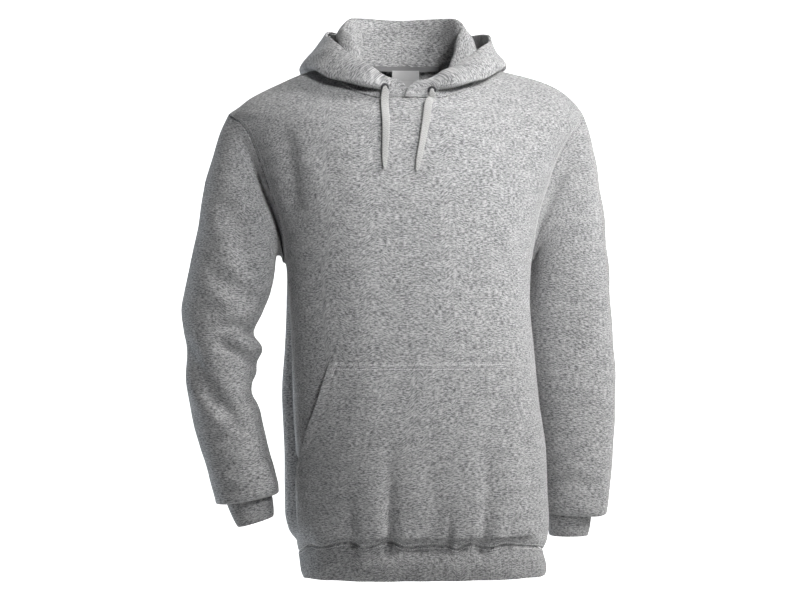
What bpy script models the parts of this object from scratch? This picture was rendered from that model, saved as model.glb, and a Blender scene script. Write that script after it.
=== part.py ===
"""A pullover hoodie filled out as if worn: hollow cloth walls, hood folded back, arms hanging.

Lengths are metres. +X runs to the right of someone who faces the chest, -Y is the front and
+Z is up. The origin is the middle of the neck, level with the tops of the shoulder seams.
The tables below are in millimetres and degrees; MM turns them into metres.
"""
import math

import bpy
import numpy as np

MM = 0.001

# Cloth walls and the gaps that sewn pieces keep.
WALL = 2.0 * MM
HOOD_WALL = 1.7 * MM
RIB_WALL = 2.6 * MM
SEAM_GAP = 0.7 * MM
LAYER_GAP = 0.4 * MM
HOOD_SEAM_GAP = 0.9 * MM

# Neck opening: half its width, the height of the shoulder seam's line across it.
NECK_HALF_WIDTH = 105 * MM
THROAT_SHIFT = -4 * MM
SHOULDER_SEAM_Y = 12 * MM
SHOULDER_ROLL = 150 * MM
ROLL_POWER = 2.2

# Where the armholes end, and the lower edge of the body with its rib band.
ARMPIT = -284 * MM
HEM_SEAM = -664 * MM
HEM_SIDE_DROP = 18 * MM
HEM_BOTTOM = -714 * MM
HEM_PINCH = 8 * MM
HEM_PINCH_HEIGHT = 11 * MM
HEM_FOLLOW = 0.6

POCKET_CENTRE_X = 12 * MM
POCKET_TOP = -418 * MM
POCKET_BOTTOM = -652 * MM
POCKET_LIFT = 1.5 * MM
POCKET_MOUTH_LIFT = 3.0 * MM
POCKET_SEAM_LIFT = 1.8 * MM

EYELET_OUTER = 5.8 * MM
EYELET_HOLE = 2.9 * MM
EYELET_THICKNESS = 1.2 * MM
CORD_DIAMETER = 5.0 * MM

TAPE_HEIGHT = 10 * MM
TAPE_WALL = 0.9 * MM
TAPE_INSET = 6 * MM
LABEL_WIDTH = 46 * MM
LABEL_SHIFT = 4 * MM
LABEL_HEIGHT = 40 * MM
LABEL_WALL = 1.0 * MM

# How finely each piece is divided.
SHOULDER_COLUMNS = 5
LOW_ROWS = 10
HIGH_ROWS = 11
LAST_ROW = 0.002
COLUMN_FAN = 10
SLEEVE_SEGMENTS = 20
POCKET_COLUMNS = 24
POCKET_ROWS = 11

# Angles round the neck at which the panels and the hood both have a point, so they meet squarely.
NECK_TURNS = np.array([0, 7, 15, 22, 30, 45, 60, 72, 90, 105, 120, 140, 160, 180.0])


def table(columns, *rows):
    """The named columns of a short table, each as an array."""
    values = np.array(rows, float)
    return {name: values[:, index] for index, name in enumerate(columns.split())}


# Level sections of the body, from the hem up: the side edges, the front and the back at their
# middles, the depth of the side seam, how far round each panel reaches before the armhole
# cuts it, and the squareness of the section.
TORSO = table(
    "height left right front back seam front_cut back_cut power",
    (-690, -149, 193, -122, 112, -8, 90, 90, 2.5),
    (-665, -152, 199, -126, 117, -8, 90, 90, 2.5),
    (-640, -151, 200, -129, 119, -8, 90, 90, 2.5),
    (-600, -150, 198, -129, 118, -8, 90, 90, 2.5),
    (-543, -153, 196, -128, 113, -8, 90, 90, 2.5),
    (-473, -157, 186, -127, 106, -8, 90, 90, 2.5),
    (-403, -159, 179, -126, 102, -8, 90, 90, 2.5),
    (-333, -163, 173, -126, 103, -8, 90, 90, 2.5),
    (-284, -167, 175, -127, 108, -8, 90, 90, 2.5),
    (-280, -168, 175.5, -127, 109, -8, 85.5, 85.5, 2.5),
    (-270, -169, 176, -127, 110, -7, 82, 82, 2.5),
    (-250, -171, 178, -127, 112, -6, 79, 79, 2.5),
    (-206, -181, 187, -127, 115, -3, 76.5, 77, 2.4),
    (-181, -190, 195, -126, 116, 0, 75, 76, 2.4),
    (-141, -204, 209, -122, 116, 4, 72.5, 74, 2.3),
    (-106, -218, 229, -116, 113, 8, 69, 71, 2.3),
    (-88, -230, 244, -112, 110, 10, 66, 69, 2.2),
    (-72, -248, 252, -104, 107, 12, 64, 66, 2.2),
    (-30, -248, 252, -89, 100, 12, 64, 66, 2.2),
    (10, -248, 252, -82, 96, 12, 64, 66, 2.2),
)

# The line of the shoulder seams as seen from the front, carried across the neck.
SHOULDERS = table(
    "x height",
    (-262, -90), (-248, -75), (-231, -63), (-217, -52), (-197, -41), (-174, -30), (-147, -18),
    (-105, -4), (-55, 18), (0, 27), (55, 18), (105, -4), (130, -9.5), (153, -14.5), (188, -23.5),
    (215, -34.5), (229, -44), (240, -54), (252, -68.5), (264, -86),
)

# The neck seam: angle round the neck from the middle of the throat, and height.
NECKLINE = table(
    "angle height",
    (0, -56), (22, -57.5), (35, -53), (48, -45.5), (60, -37), (70, -27), (80, -14), (90, -4),
    (105, -5), (125, -5), (150, -4), (180, -4),
)

# Gathers above the rib band: middle, depth and half width of each trough, and how far up it runs.
FRONT_GATHERS = table(
    "x depth width length",
    (-84, 4, 9, 55), (-32, 3.5, 14, 85), (47, 4, 8, 28), (96, 4, 10, 50),
)
BACK_GATHERS = table(
    "x depth width length",
    (-96, 4, 10, 60), (-38, 4, 10, 45), (30, 5, 11, 75), (92, 4, 10, 50),
)

# Long soft troughs on the panels, from one point to another.
FRONT_FOLDS = table(
    "x0 z0 x1 z1 depth width",
    (-172, -95, -158, -225, 7, 13),
    (176, -120, 160, -250, 3, 16),
)
BACK_FOLDS = table(
    "x0 z0 x1 z1 depth width",
    (-150, -110, -136, -260, 5, 16),
    (150, -120, 138, -270, 5, 16),
    (-40, -400, 60, -430, 4, 22),
)

# The back panel's soft fold beside the left side seam, by height.
SIDE_FOLD = table(
    "height bulge groove",
    (-690, 2, 0), (-676, 6, 0), (-655, 20, 2), (-630, 25, 3), (-600, 25, 4), (-543, 22, 5), (-473, 22, 6),
    (-403, 16, 6), (-333, 9, 4), (-270, 2, 1), (-230, 0, 0),
)

# Sleeves, from the armhole down: the outer and the inner line as seen from the front, the
# middle of the tube front to back, and half its depth.
LEFT_SLEEVE = table(
    "outer_x outer_z inner_x inner_z middle half_depth",
    (-248, -73, -167, -284, 12, 62),
    (-260, -101, -171, -276, 12, 50),
    (-269, -135, -176, -271, 12, 52),
    (-278, -168, -179, -271, 12, 54),
    (-286, -210, -181, -278, 12, 56),
    (-294, -252, -182, -289, 12, 57),
    (-301, -288, -184, -305, 12, 58),
    (-308, -322, -188, -324, 12, 57),
    (-312, -348, -199, -351, 11, 55),
    (-309, -377, -211, -379, 9, 52),
    (-306, -404, -203, -402, 5, 52),
    (-304, -433, -206, -431, 1, 51),
    (-301, -461, -214, -454, -3, 49),
    (-297, -491, -202, -486, -7, 48),
    (-287, -531, -194, -526, -12, 48),
    (-275, -571, -183, -562, -16, 47),
    (-266, -606, -177, -589, -20, 46),
    (-264, -614, -177, -597, -20, 44),
    (-257, -615, -182, -601, -20, 38),
    (-249, -612, -188, -602, -20, 33),
)
RIGHT_SLEEVE = table(
    "outer_x outer_z inner_x inner_z middle half_depth",
    (252, -72, 175, -284, 12, 62),
    (260, -92, 180, -276, 9, 50),
    (268, -120, 185, -273, 14, 52),
    (275, -148, 185, -275, 21, 54),
    (281, -179, 182, -281, 27, 56),
    (288, -228, 178, -298, 34, 57),
    (294, -276, 176, -320, 39, 58),
    (299, -333, 176, -352, 43, 56),
    (303, -405, 179, -411, 46, 53),
    (305, -476, 190, -478, 47, 51),
    (303, -534, 198, -534, 48, 49),
    (300, -591, 202, -588, 48, 47),
    (296, -630, 203, -624, 48, 46),
    (294, -638, 204, -632, 48, 44),
    (286, -641, 208, -637, 48, 38),
    (270, -637, 212, -635, 48, 33),
)

CUFF = table(
    "drop inset",
    (0, 0), (6, -1.0), (18, -0.6), (30, 0.6), (35, 1.6),
)
LEFT_CUFF_END = dict(outer=(-236, -646), inner=(-183, -630), middle=-22, half_depth=30)
RIGHT_CUFF_END = dict(outer=(268, -668), inner=(210, -668), middle=48, half_depth=31)

# The rib band below the body, from its seam down.
HEM = table(
    "drop left right front back",
    (0.0, -150, 193, -117, 108),
    (0.2, -148, 194, -119, 110),
    (0.5, -147, 196, -120, 111),
    (0.8, -145, 197, -118, 109),
    (1.0, -142, 195, -114, 105),
)

POCKET = table(
    "height half_width",
    (-655, 160), (-600, 162), (-564, 162), (-536, 156), (-507, 148), (-465, 134), (-418, 122),
)

# Sections of the folded hood, from the throat round to the middle of the back. Each one runs
# from the neck seam up the stand, over its crest, down inside the bag, round the trough, out
# to the belly and up the outer wall to the opening's edge. _d is the distance out from the
# neck seam and _z the height.
HOOD = table(
    "angle stand_d stand_z crest_d crest_z inner_d inner_z trough_d trough_z"
    " belly_d belly_z wall_d wall_z edge_d edge_z",
    (0, -0.7, -54.2, -0.5, -53, -0.3, -51.8, -0.1, -50.6, 0.1, -49.5, 0.3, -48.4, 0.6, -47),
    (7, -0.7, -53.8, -0.4, -51.4, -0.1, -49, 0.2, -46.5, 0.5, -43.6, 0.8, -39.5, 0.8, -34),
    (15, -0.6, -54, 0, -51.5, 0.8, -49, 1.8, -46.3, 2.6, -42.8, 2.8, -37, 1, -28),
    (30, -6, -47, -8.5, -39, -2, -36, 6, -42, 12, -37.5, 8.5, -23, -1, -11),
    (45, -20, -34, -21, -17, -8, -19, 5, -35, 14, -34, 9, -13, -4, 3),
    (60, -30, -14, -28, 5, -14, 1, 5, -24, 19, -28, 11, -2, -4, 15),
    (75, -34, 4, -30, 24, -15, 20, 10, -11, 28, -15, 15, 7, -1, 28),
    (90, -29, 20, -23, 42, -10, 36, 19, -3, 38, -9, 20, 13, 3, 36),
    (105, -28, 28, -20, 50, -9, 44, 23, -4, 44, -9, 27, 14, 10, 37),
    (120, -22, 32, -15, 59, -2, 51, 37, -18, 56, -21, 43, 8, 26, 38),
    (135, -13, 33, -6, 65, 9, 54, 58, -48, 76, -44, 67, -4, 48, 38),
    (150, -3, 33, 4, 66.5, 23, 50, 73, -106, 93, -92, 86, -18, 65, 37),
    (165, 1, 33, 10, 66.5, 31, 45, 84, -149, 105, -132, 99, -36, 80, 36),
    (180, 2, 32, 12, 66, 33, 44, 86, -151, 108, -135, 101, -38, 82, 35),
)
# How the right half differs at the side of the neck: a higher crest, an outer wall further out.
RIGHT_WING = {"crest_z": 5, "inner_z": 4, "trough_z": 4, "belly_z": 4, "wall_d": 4, "edge_d": 10,
              "edge_z": -6}
# Steps to each named point of a section from the one before it.
HOOD_STEPS = {"stand": 2, "crest": 3, "inner": 3, "trough": 4, "belly": 3, "wall": 4, "edge": 3}
HOOD_SEAM_LIFT = 0.6 * MM
HOOD_SEAM_INSET = 0.9 * MM

# The eyelets' places and the free ends of the drawstring, from the eyelet to the tip.
EYELETS = {"left": (-36, -43), "right": (29, -46)}
CORD_ROUTES = {
    "left": table("x z clear", (-36, -60, 4), (-36, -93, 5), (-38, -135, 5), (-39, -156, 4)),
    "right": table("x z clear", (25, -62, 4), (19, -87, 5), (11, -127, 5), (4, -160, 4)),
}

# Colour, roughness and metallic value of each material.
MATERIALS = {
    "fleece": ((0.30, 0.30, 0.31), 0.95, 0.0),
    "lining": ((0.31, 0.31, 0.31), 0.95, 0.0),
    "rib": ((0.24, 0.245, 0.25), 0.95, 0.0),
    "cord": ((0.55, 0.55, 0.55), 0.85, 0.0),
    "label": ((0.48, 0.48, 0.49), 0.6, 0.0),
    "tape": ((0.36, 0.36, 0.37), 0.9, 0.0),
    "metal": ((0.10, 0.10, 0.11), 0.35, 1.0),
}


def smooth(stations, values, at):
    """A smooth curve through the values that never swings past them (monotone cubic)."""
    step = np.diff(stations)
    rise = np.diff(values) / step
    before, after = rise[:-1], rise[1:]
    same_way = before * after > 0
    heavy, light = 2 * step[1:] + step[:-1], step[1:] + 2 * step[:-1]
    bottom = np.where(same_way, heavy * after + light * before, 1)
    slope = np.zeros(len(values))
    slope[1:-1] = np.where(same_way, (heavy + light) * before * after / bottom, 0)
    slope[0], slope[-1] = rise[0], rise[-1]
    at = np.clip(at, stations[0], stations[-1])
    index = np.clip(np.searchsorted(stations, at, side="right") - 1, 0, len(step) - 1)
    width = step[index]
    t = (at - stations[index]) / width
    return (values[index] * (1 + 2 * t) * (1 - t) ** 2 + slope[index] * width * t * (1 - t) ** 2
            + values[index + 1] * t * t * (3 - 2 * t) - slope[index + 1] * width * t * t * (1 - t))


def column(source, key, name, at):
    """One column of a table in metres, read at places given in metres along its key column."""
    return smooth(source[key] * MM, source[name] * MM, at)


def shoulder_height(x):
    return column(SHOULDERS, "x", "height", x)


def neck_height(angle):
    """Height of the neck seam, angle in degrees from the middle of the throat."""
    return smooth(NECKLINE["angle"], NECKLINE["height"] * MM, np.abs(angle))


def trough(folds, x, z):
    """Depth of the long soft troughs at a place on a panel."""
    depth = 0.0
    for x0, z0, x1, z1, deep, width in zip(*(folds[name] for name in folds)):
        run = np.array([x1 - x0, z1 - z0]) * MM
        length = math.hypot(*run)
        along = ((x - x0 * MM) * run[0] + (z - z0 * MM) * run[1]) / length ** 2
        aside = ((x - x0 * MM) * run[1] - (z - z0 * MM) * run[0]) / length
        fade = np.exp(-np.maximum(np.abs(along - 0.5) * 2 - 0.55, 0) ** 2 / 0.12)
        depth = depth + deep * MM * fade * np.exp(-(aside / (width * MM)) ** 2)
    return depth


def gathers(rows, x, above):
    """Depth of the gathers at a distance above the rib band's seam."""
    depth = 0.0
    for middle, deep, width, length in zip(*(rows[name] for name in rows)):
        shape = np.exp(-((x - middle * MM) / (width * MM)) ** 2)
        depth = depth + deep * MM * shape * np.exp(-(above / (length * MM)) ** 2)
    return depth


def hem_height(side_share):
    """Height of the rib band's seam: side_share is 0 at the middle of a panel, 1 at its side."""
    return HEM_SEAM - HEM_SIDE_DROP * np.sin(np.abs(side_share) * np.pi / 2) ** 6


def section(z):
    """The body's level section: its middle, half width, side seam depth and squareness."""
    left, right = column(TORSO, "height", "left", z), column(TORSO, "height", "right", z)
    seam = column(TORSO, "height", "seam", z)
    power = smooth(TORSO["height"] * MM, TORSO["power"], z)
    return (left + right) / 2, (right - left) / 2, seam, power


def reach(angle, power):
    """Distance to a superellipse of size 1 at an angle from its middle."""
    return (np.abs(np.sin(angle)) ** power + np.abs(np.cos(angle)) ** power) ** (-1 / power)


def body_point(panel, share, z):
    """A point of the body's outer face: share runs from -1 at the left edge to 1 at the right."""
    middle, half, seam, power = section(z)
    depth = column(TORSO, "height", panel, z) - seam
    cut = np.radians(smooth(TORSO["height"] * MM, TORSO[panel + "_cut"], z))
    angle = share * cut
    across = np.sin(angle) * reach(angle, power)
    along = np.cos(angle) * reach(angle, power)
    full = half / (np.sin(cut) * reach(cut, power))
    x = middle + full * across
    y = seam + depth * along
    # The cloth's outward direction, level.
    out_x = np.sign(across) * np.abs(across) ** (power - 1) / full
    out_y = np.abs(along) ** (power - 1) / depth
    size = np.hypot(out_x, out_y)
    out_x, out_y = out_x / size, out_y / size
    above = z - hem_height(share)
    rows, folds = (FRONT_GATHERS, FRONT_FOLDS) if panel == "front" else (BACK_GATHERS, BACK_FOLDS)
    edge_fade = 1 - np.abs(share) ** 8
    inward = (gathers(rows, x, above) + trough(folds, x, z)) * edge_fade
    inward = inward + HEM_PINCH * np.exp(-above / HEM_PINCH_HEIGHT)
    if panel == "back":
        round_to_seam = np.degrees(np.abs(angle))
        left_side = share < 0
        bulge = column(SIDE_FOLD, "height", "bulge", z)
        groove = column(SIDE_FOLD, "height", "groove", z)
        inward = inward - left_side * bulge * np.exp(-((round_to_seam - 66) / 13) ** 2)
        inward = inward + left_side * groove * np.exp(-((round_to_seam - 80) / 5) ** 2)
    x, y = x - out_x * inward, y - out_y * inward
    # Towards the shoulder seam the cloth rolls over to the seam's depth.
    below = np.clip((shoulder_height(x) - z) / SHOULDER_ROLL, 0, 1)
    roll = (1 - (1 - below) ** ROLL_POWER) ** (1 / ROLL_POWER)
    return np.stack([x, SHOULDER_SEAM_Y + (y - SHOULDER_SEAM_Y) * roll, z + 0 * x], -1)


def share_of(panel, x, z):
    """The share at which a panel's base form passes through x at this height."""
    middle, half, _, power = section(z)
    cut = np.radians(smooth(TORSO["height"] * MM, TORSO[panel + "_cut"], z))
    full = half / (np.sin(cut) * reach(cut, power))
    across = np.clip((x - middle) / full, -0.9999, 0.9999)
    along = (1 - np.abs(across) ** power) ** (1 / power)
    return np.arctan2(across, along) / cut


def normals(grid):
    """Unit normals of a grid of points, rows going up and columns going left to right."""
    up = np.gradient(grid, axis=0)
    right = np.gradient(grid, axis=1)
    across = np.cross(right, up)
    return across / np.linalg.norm(across, axis=2, keepdims=True)


def drawn_in(grid):
    """The grid with its outer edges drawn in by half a seam gap, so that neighbours stay clear."""
    grid = grid.copy()
    for lines in (grid, grid.transpose(1, 0, 2)):
        for edge, inner in ((0, 1), (-1, -2)):
            step = lines[inner] - lines[edge]
            lines[edge] += step / np.linalg.norm(step, axis=1, keepdims=True) * SEAM_GAP / 2
    return grid


def material(name):
    if name in bpy.data.materials:
        return bpy.data.materials[name]
    colour, roughness, metallic = MATERIALS[name]
    made = bpy.data.materials.new(name)
    made.use_nodes = True
    shader = made.node_tree.nodes["Principled BSDF"]
    shader.inputs["Base Color"].default_value = (*colour, 1)
    shader.inputs["Roughness"].default_value = roughness
    shader.inputs["Metallic"].default_value = metallic
    return made


def finish(obj, slot, collection):
    obj.data.materials.append(material(slot))
    collection.objects.link(obj)
    return obj


def cloth(name, grid, wall, slot, collection, around=False, offset=-1):
    """A cloth wall from an open grid of points, rows going up; around closes each row."""
    rows, columns = grid.shape[:2]
    index = np.arange(rows * columns).reshape(rows, columns)
    if around:
        index = np.concatenate([index, index[:, :1]], axis=1)
    faces = np.stack([index[:-1, :-1], index[:-1, 1:], index[1:, 1:], index[1:, :-1]], -1)
    mesh = bpy.data.meshes.new(name)
    mesh.from_pydata(grid.reshape(-1, 3).tolist(), [], faces.reshape(-1, 4).tolist())
    mesh.shade_smooth()
    obj = finish(bpy.data.objects.new(name, mesh), slot, collection)
    wall_modifier = obj.modifiers.new("Wall", "SOLIDIFY")
    wall_modifier.thickness = wall
    wall_modifier.offset = offset
    return obj


def neck_x(angle):
    """The neck seam from side to side, a little off the middle at the throat."""
    turn = np.radians(angle)
    return NECK_HALF_WIDTH * np.sin(turn) + THROAT_SHIFT * np.clip(np.cos(turn), 0, 1) ** 2


def neck_point(angle):
    """The neck seam: angle in degrees, 0 at the throat, negative to the left, 180 at the back."""
    x = neck_x(angle)
    z = neck_height(angle)
    front = body_point("front", share_of("front", x, z), z)
    back = body_point("back", share_of("back", x, z), z)
    return np.where((np.abs(angle) <= 90)[..., None], front, back)


def neck_angles(panel):
    """The angles round the neck of a panel's top edge, from left to right."""
    if panel == "front":
        turns = NECK_TURNS[NECK_TURNS <= 90]
        return np.concatenate([-turns[:0:-1], turns])
    turns = NECK_TURNS[NECK_TURNS >= 90]
    return np.concatenate([-turns[:-1], turns[::-1]])


def hem_shares(panel):
    """Where a panel's columns stand along the rib band."""
    return np.linspace(-1, 1, len(neck_angles(panel)) + 2 * SHOULDER_COLUMNS)


def panel_grid(panel):
    """The front or the back: up from the rib band to the armholes, shoulder seams and neck."""
    angle = neck_angles(panel)
    neck_z = neck_height(angle)
    neck_share = share_of(panel, neck_x(angle), neck_z)
    left = np.linspace(-1, neck_share[0], SHOULDER_COLUMNS + 1)[:-1]
    right = np.linspace(neck_share[-1], 1, SHOULDER_COLUMNS + 1)[1:]
    top_share = np.concatenate([left, neck_share, right])
    low_share = hem_shares(panel)
    top = np.full(top_share.shape, -20 * MM)
    for _ in range(6):
        top = shoulder_height(body_point(panel, top_share, top)[:, 0])
    top[SHOULDER_COLUMNS:-SHOULDER_COLUMNS] = neck_z
    bottom = hem_height(low_share)
    # Rows lie closer together near the rib band, at the armpit and where the shoulder rolls over.
    armpit = (ARMPIT - bottom[0]) / (top[0] - bottom[0])
    low = armpit * np.linspace(0, 1, LOW_ROWS + 1) ** 1.6
    high = armpit + (1 - armpit) * (0.5 - 0.5 * np.cos(np.linspace(0, np.pi, HIGH_ROWS + 1)))
    rise = np.concatenate([low, high[1:-1], [1 - LAST_ROW, 1]])[:, None]
    height = bottom + (top - bottom) * rise
    # Columns stand upright on the body and fan in to meet the neck squarely.
    share = low_share + (top_share - low_share) * rise ** COLUMN_FAN
    return body_point(panel, share, height)


def armhole(side, count):
    """The armhole's ring from the shoulder point down the front and up the back."""
    end = TORSO["left"][-1] if side < 0 else TORSO["right"][-1]
    heights = np.linspace(shoulder_height(np.array(end * MM)), ARMPIT, 60)
    ring = []
    for panel in ("front", "back"):
        edge = body_point(panel, side + 0 * heights, heights)
        run = np.concatenate([[0], np.cumsum(np.linalg.norm(np.diff(edge, axis=0), axis=1))])
        places = np.linspace(0, run[-1], count // 2 + 1)
        ring.append(np.stack([np.interp(places, run, edge[:, axis]) for axis in range(3)], -1))
    return np.concatenate([ring[0], ring[1][-2:0:-1]])


def tube_ring(outer, inner, middle, half_depth, count, power=2.2):
    """A ring through an outer and an inner point seen from the front, deep front to back."""
    turn = np.arange(count) * 2 * np.pi / count
    wide, deep = np.cos(turn) * reach(turn, power), np.sin(turn) * reach(turn, power)
    centre, half = (outer + inner) / 2, (outer - inner) / 2
    x = centre[0] + half[0] * wide
    z = centre[1] + half[1] * wide
    return np.stack([x, middle - half_depth * deep, z], -1)


def sleeve_rings(side, rows):
    """The sleeve's rings, from the armhole to the cuff's seam."""
    rings = []
    for index in range(len(rows["middle"])):
        outer = np.array([rows["outer_x"][index], rows["outer_z"][index]]) * MM
        inner = np.array([rows["inner_x"][index], rows["inner_z"][index]]) * MM
        middle, half_depth = rows["middle"][index] * MM, rows["half_depth"][index] * MM
        rings.append(tube_ring(outer, inner, middle, half_depth, SLEEVE_SEGMENTS))
    rings = np.array(rings)
    # The first rings grow out of the armhole's own ring.
    change = armhole(side, SLEEVE_SEGMENTS) - rings[0]
    for index, share in enumerate((1.0, 0.5, 0.2, 0.05)):
        rings[index] += share * change
    return rings


def make_sleeve(name, side, rows, collection):
    rings = sleeve_rings(side, rows)
    step = rings[1] - rings[0]
    rings[0] += step / np.linalg.norm(step, axis=1, keepdims=True) * SEAM_GAP * 2
    # Rows run down the tube, so turning each ring round keeps its faces outwards.
    grid = rings[:, ::-1] if side < 0 else rings
    return cloth(name, grid, WALL, "fleece", collection, around=True)


def make_cuff(name, side, rows, end, collection):
    """The rib cuff, from the sleeve's last ring down to the hand opening."""
    outer = np.array([rows["outer_x"][-1], rows["outer_z"][-1]])
    inner = np.array([rows["inner_x"][-1], rows["inner_z"][-1]])
    rings = []
    for drop, inset in zip(CUFF["drop"], CUFF["inset"]):
        share = drop / CUFF["drop"][-1]
        far = outer + (np.array(end["outer"]) - outer) * share
        near = inner + (np.array(end["inner"]) - inner) * share
        away = (far - near) / np.linalg.norm(far - near)
        middle = rows["middle"][-1] + (end["middle"] - rows["middle"][-1]) * share
        half_depth = rows["half_depth"][-1] + (end["half_depth"] - rows["half_depth"][-1]) * share
        rings.append(tube_ring((far - away * inset) * MM, (near + away * inset) * MM, middle * MM,
                               (half_depth - inset) * MM, SLEEVE_SEGMENTS))
    rings = np.array(rings)
    step = rings[1] - rings[0]
    rings[0] += step / np.linalg.norm(step, axis=1, keepdims=True) * SEAM_GAP
    grid = rings[:, ::-1] if side < 0 else rings
    return cloth(name, grid, RIB_WALL, "rib", collection, around=True)


def hem_ring(drop):
    """One ring of the rib band, from the left side seam across the front and back again."""
    ring = []
    for panel in ("front", "back"):
        share = hem_shares(panel)[:-1] if panel == "front" else hem_shares(panel)[:0:-1]
        left, right = (smooth(HEM["drop"], HEM[name] * MM, drop) for name in ("left", "right"))
        depth = smooth(HEM["drop"], HEM[panel] * MM, drop)
        angle = share * np.pi / 2
        power = TORSO["power"][0]
        seam = TORSO["seam"][0] * MM
        across = np.sin(angle) * reach(angle, power)
        own = np.stack([(left + right) / 2 + (right - left) / 2 * across,
                        seam + (depth - seam) * np.cos(angle) * reach(angle, power)], -1)
        # Its top edge follows the body's own lower edge.
        body = body_point(panel, share, hem_height(share))
        follow = np.clip(1 - drop / HEM_FOLLOW, 0, 1) ** 2
        top = hem_height(share) - SEAM_GAP / 2
        level = own * (1 - follow) + body[:, :2] * follow
        ring.append(np.concatenate([level, (top + (HEM_BOTTOM - top) * drop)[:, None]], 1))
    return np.concatenate(ring)


def make_hem_band(collection):
    grid = np.array([hem_ring(drop) for drop in (1.0, 0.9, 0.5, 0.15, 0.0)])
    return cloth("hem_band", grid, RIB_WALL, "rib", collection, around=True)


def make_pocket(collection):
    """The kangaroo pocket: the front panel's own form, moved out, lifted at its two mouths."""
    rise = np.linspace(0, 1, POCKET_ROWS + 1) ** 1.4
    z = POCKET_BOTTOM + (POCKET_TOP - POCKET_BOTTOM) * rise
    half = column(POCKET, "height", "half_width", z)
    left = share_of("front", POCKET_CENTRE_X - half, z)
    right = share_of("front", POCKET_CENTRE_X + half, z)
    across = np.linspace(-1, 1, POCKET_COLUMNS + 1)[None, :]
    share = ((left + right) / 2)[:, None] + ((right - left) / 2)[:, None] * across
    z = z[:, None] + 0 * share
    base = body_point("front", share, z)
    mouth = np.clip((z + 560 * MM) / (60 * MM), 0, 1) * np.clip((POCKET_TOP - z) / (30 * MM), 0, 1)
    lift = POCKET_LIFT + (POCKET_MOUTH_LIFT - POCKET_LIFT) * mouth * np.abs(across) ** 10
    lift = lift + POCKET_SEAM_LIFT * np.exp((POCKET_BOTTOM - z) / (20 * MM))
    grid = base + normals(base) * (lift + WALL)[..., None]
    return cloth("pocket", grid, WALL, "fleece", collection)


def hood_profile(angle, finer=1):
    """One section of the hood at an angle in degrees, as points from neck seam to edge."""
    side = -1 if angle < 0 else 1
    turn = abs(angle)
    seam = neck_point(np.array([angle], float))[0]
    beside = math.sin(math.radians(turn)) ** 4 if side > 0 else 0
    out, up, at = [-HOOD_SEAM_INSET], [seam[2] + HOOD_SEAM_LIFT], [np.zeros(1)]
    for name in HOOD_STEPS:
        for values, key in ((out, name + "_d"), (up, name + "_z")):
            own = smooth(HOOD["angle"], HOOD[key], turn)
            values.append((own + beside * RIGHT_WING.get(key, 0)) * MM)
    run = np.concatenate([[0], np.cumsum(np.hypot(np.diff(out), np.diff(up)) ** 0.5)])
    for index, steps in enumerate(HOOD_STEPS.values()):
        at.append(np.linspace(run[index], run[index + 1], steps * finer + 1)[1:])
    at = np.concatenate(at)
    out, up = through(run, np.array(out), at), through(run, np.array(up), at)
    away = np.array([side * math.sin(math.radians(turn)), -math.cos(math.radians(turn))])
    return np.stack([seam[0] + away[0] * out, seam[1] + away[1] * out, up], -1)


def through(stations, values, at):
    """A rounded curve through the values (Catmull-Rom with uneven steps)."""
    step = np.diff(stations)
    rise = np.diff(values) / step
    slope = np.empty(len(values))
    slope[1:-1] = (rise[:-1] * step[1:] + rise[1:] * step[:-1]) / (step[1:] + step[:-1])
    slope[0], slope[-1] = 2 * rise[0] - slope[1], 2 * rise[-1] - slope[-2]
    index = np.clip(np.searchsorted(stations, at, side="right") - 1, 0, len(step) - 1)
    width = step[index]
    t = (at - stations[index]) / width
    return (values[index] * (1 + 2 * t) * (1 - t) ** 2 + slope[index] * width * t * (1 - t) ** 2
            + values[index + 1] * t * t * (3 - 2 * t) - slope[index + 1] * width * t * t * (1 - t))


def make_hood_half(word, side, collection):
    """One half of the hood: an outer and an inner layer on the same form."""
    grid = np.array([hood_profile(side * max(turn, 1e-6)) for turn in NECK_TURNS])
    grid = grid.transpose(1, 0, 2)
    grid[:, [0, -1], 0] += side * HOOD_SEAM_GAP / 2
    if side < 0:
        grid = grid[:, ::-1]
    # Rows run from the neck seam to the edge and columns left to right, so the normal is the
    # shell's. At the centre seam it stays in the seam's own plane.
    away = normals(grid)
    away[:, [0, -1], 0] = 0
    away = away / np.linalg.norm(away, axis=2, keepdims=True)
    half_gap = LAYER_GAP / 2
    cloth(f"hood_shell_{word}", grid + away * half_gap, HOOD_WALL, "fleece", collection, offset=1)
    cloth(f"hood_lining_{word}", grid - away * half_gap, HOOD_WALL, "lining", collection)


def inside_neck(turns, inward):
    """Points of the neck seam moved inwards; turns run past 180 to the left side."""
    seam = neck_point(np.where(turns > 180, turns - 360, turns))
    away = np.stack([np.sin(np.radians(turns)), -np.cos(np.radians(turns)), 0 * turns], -1)
    return seam - away * inward


def make_neck_tape(collection):
    """The tape over the back neck seam, inside the lining."""
    seam = inside_neck(np.linspace(140, 220, 13), TAPE_INSET)
    height = np.linspace(-0.5, 0.5, 3)[:, None, None] * TAPE_HEIGHT * np.array([0, 0, 1.0])
    return cloth("neck_tape", seam[None] + height, TAPE_WALL, "tape", collection)


def make_label(collection):
    """The blank label that hangs from the tape."""
    across = np.linspace(LABEL_WIDTH / 2, -LABEL_WIDTH / 2, 7) + LABEL_SHIFT
    turns = 180 - np.degrees(np.arcsin(across / NECK_HALF_WIDTH))
    top = inside_neck(turns, TAPE_INSET + TAPE_WALL + 0.4 * MM)
    drop = np.linspace(LABEL_HEIGHT, 0, 6) + TAPE_HEIGHT / 2 - 1 * MM
    grid = top[None] - drop[:, None, None] * np.array([0, 0, 1.0])
    return cloth("neck_label", grid, LABEL_WALL, "label", collection)


def chest_y(x, z):
    return body_point("front", share_of("front", np.array([x]), np.array([z])), np.array([z]))[0][1]


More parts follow.
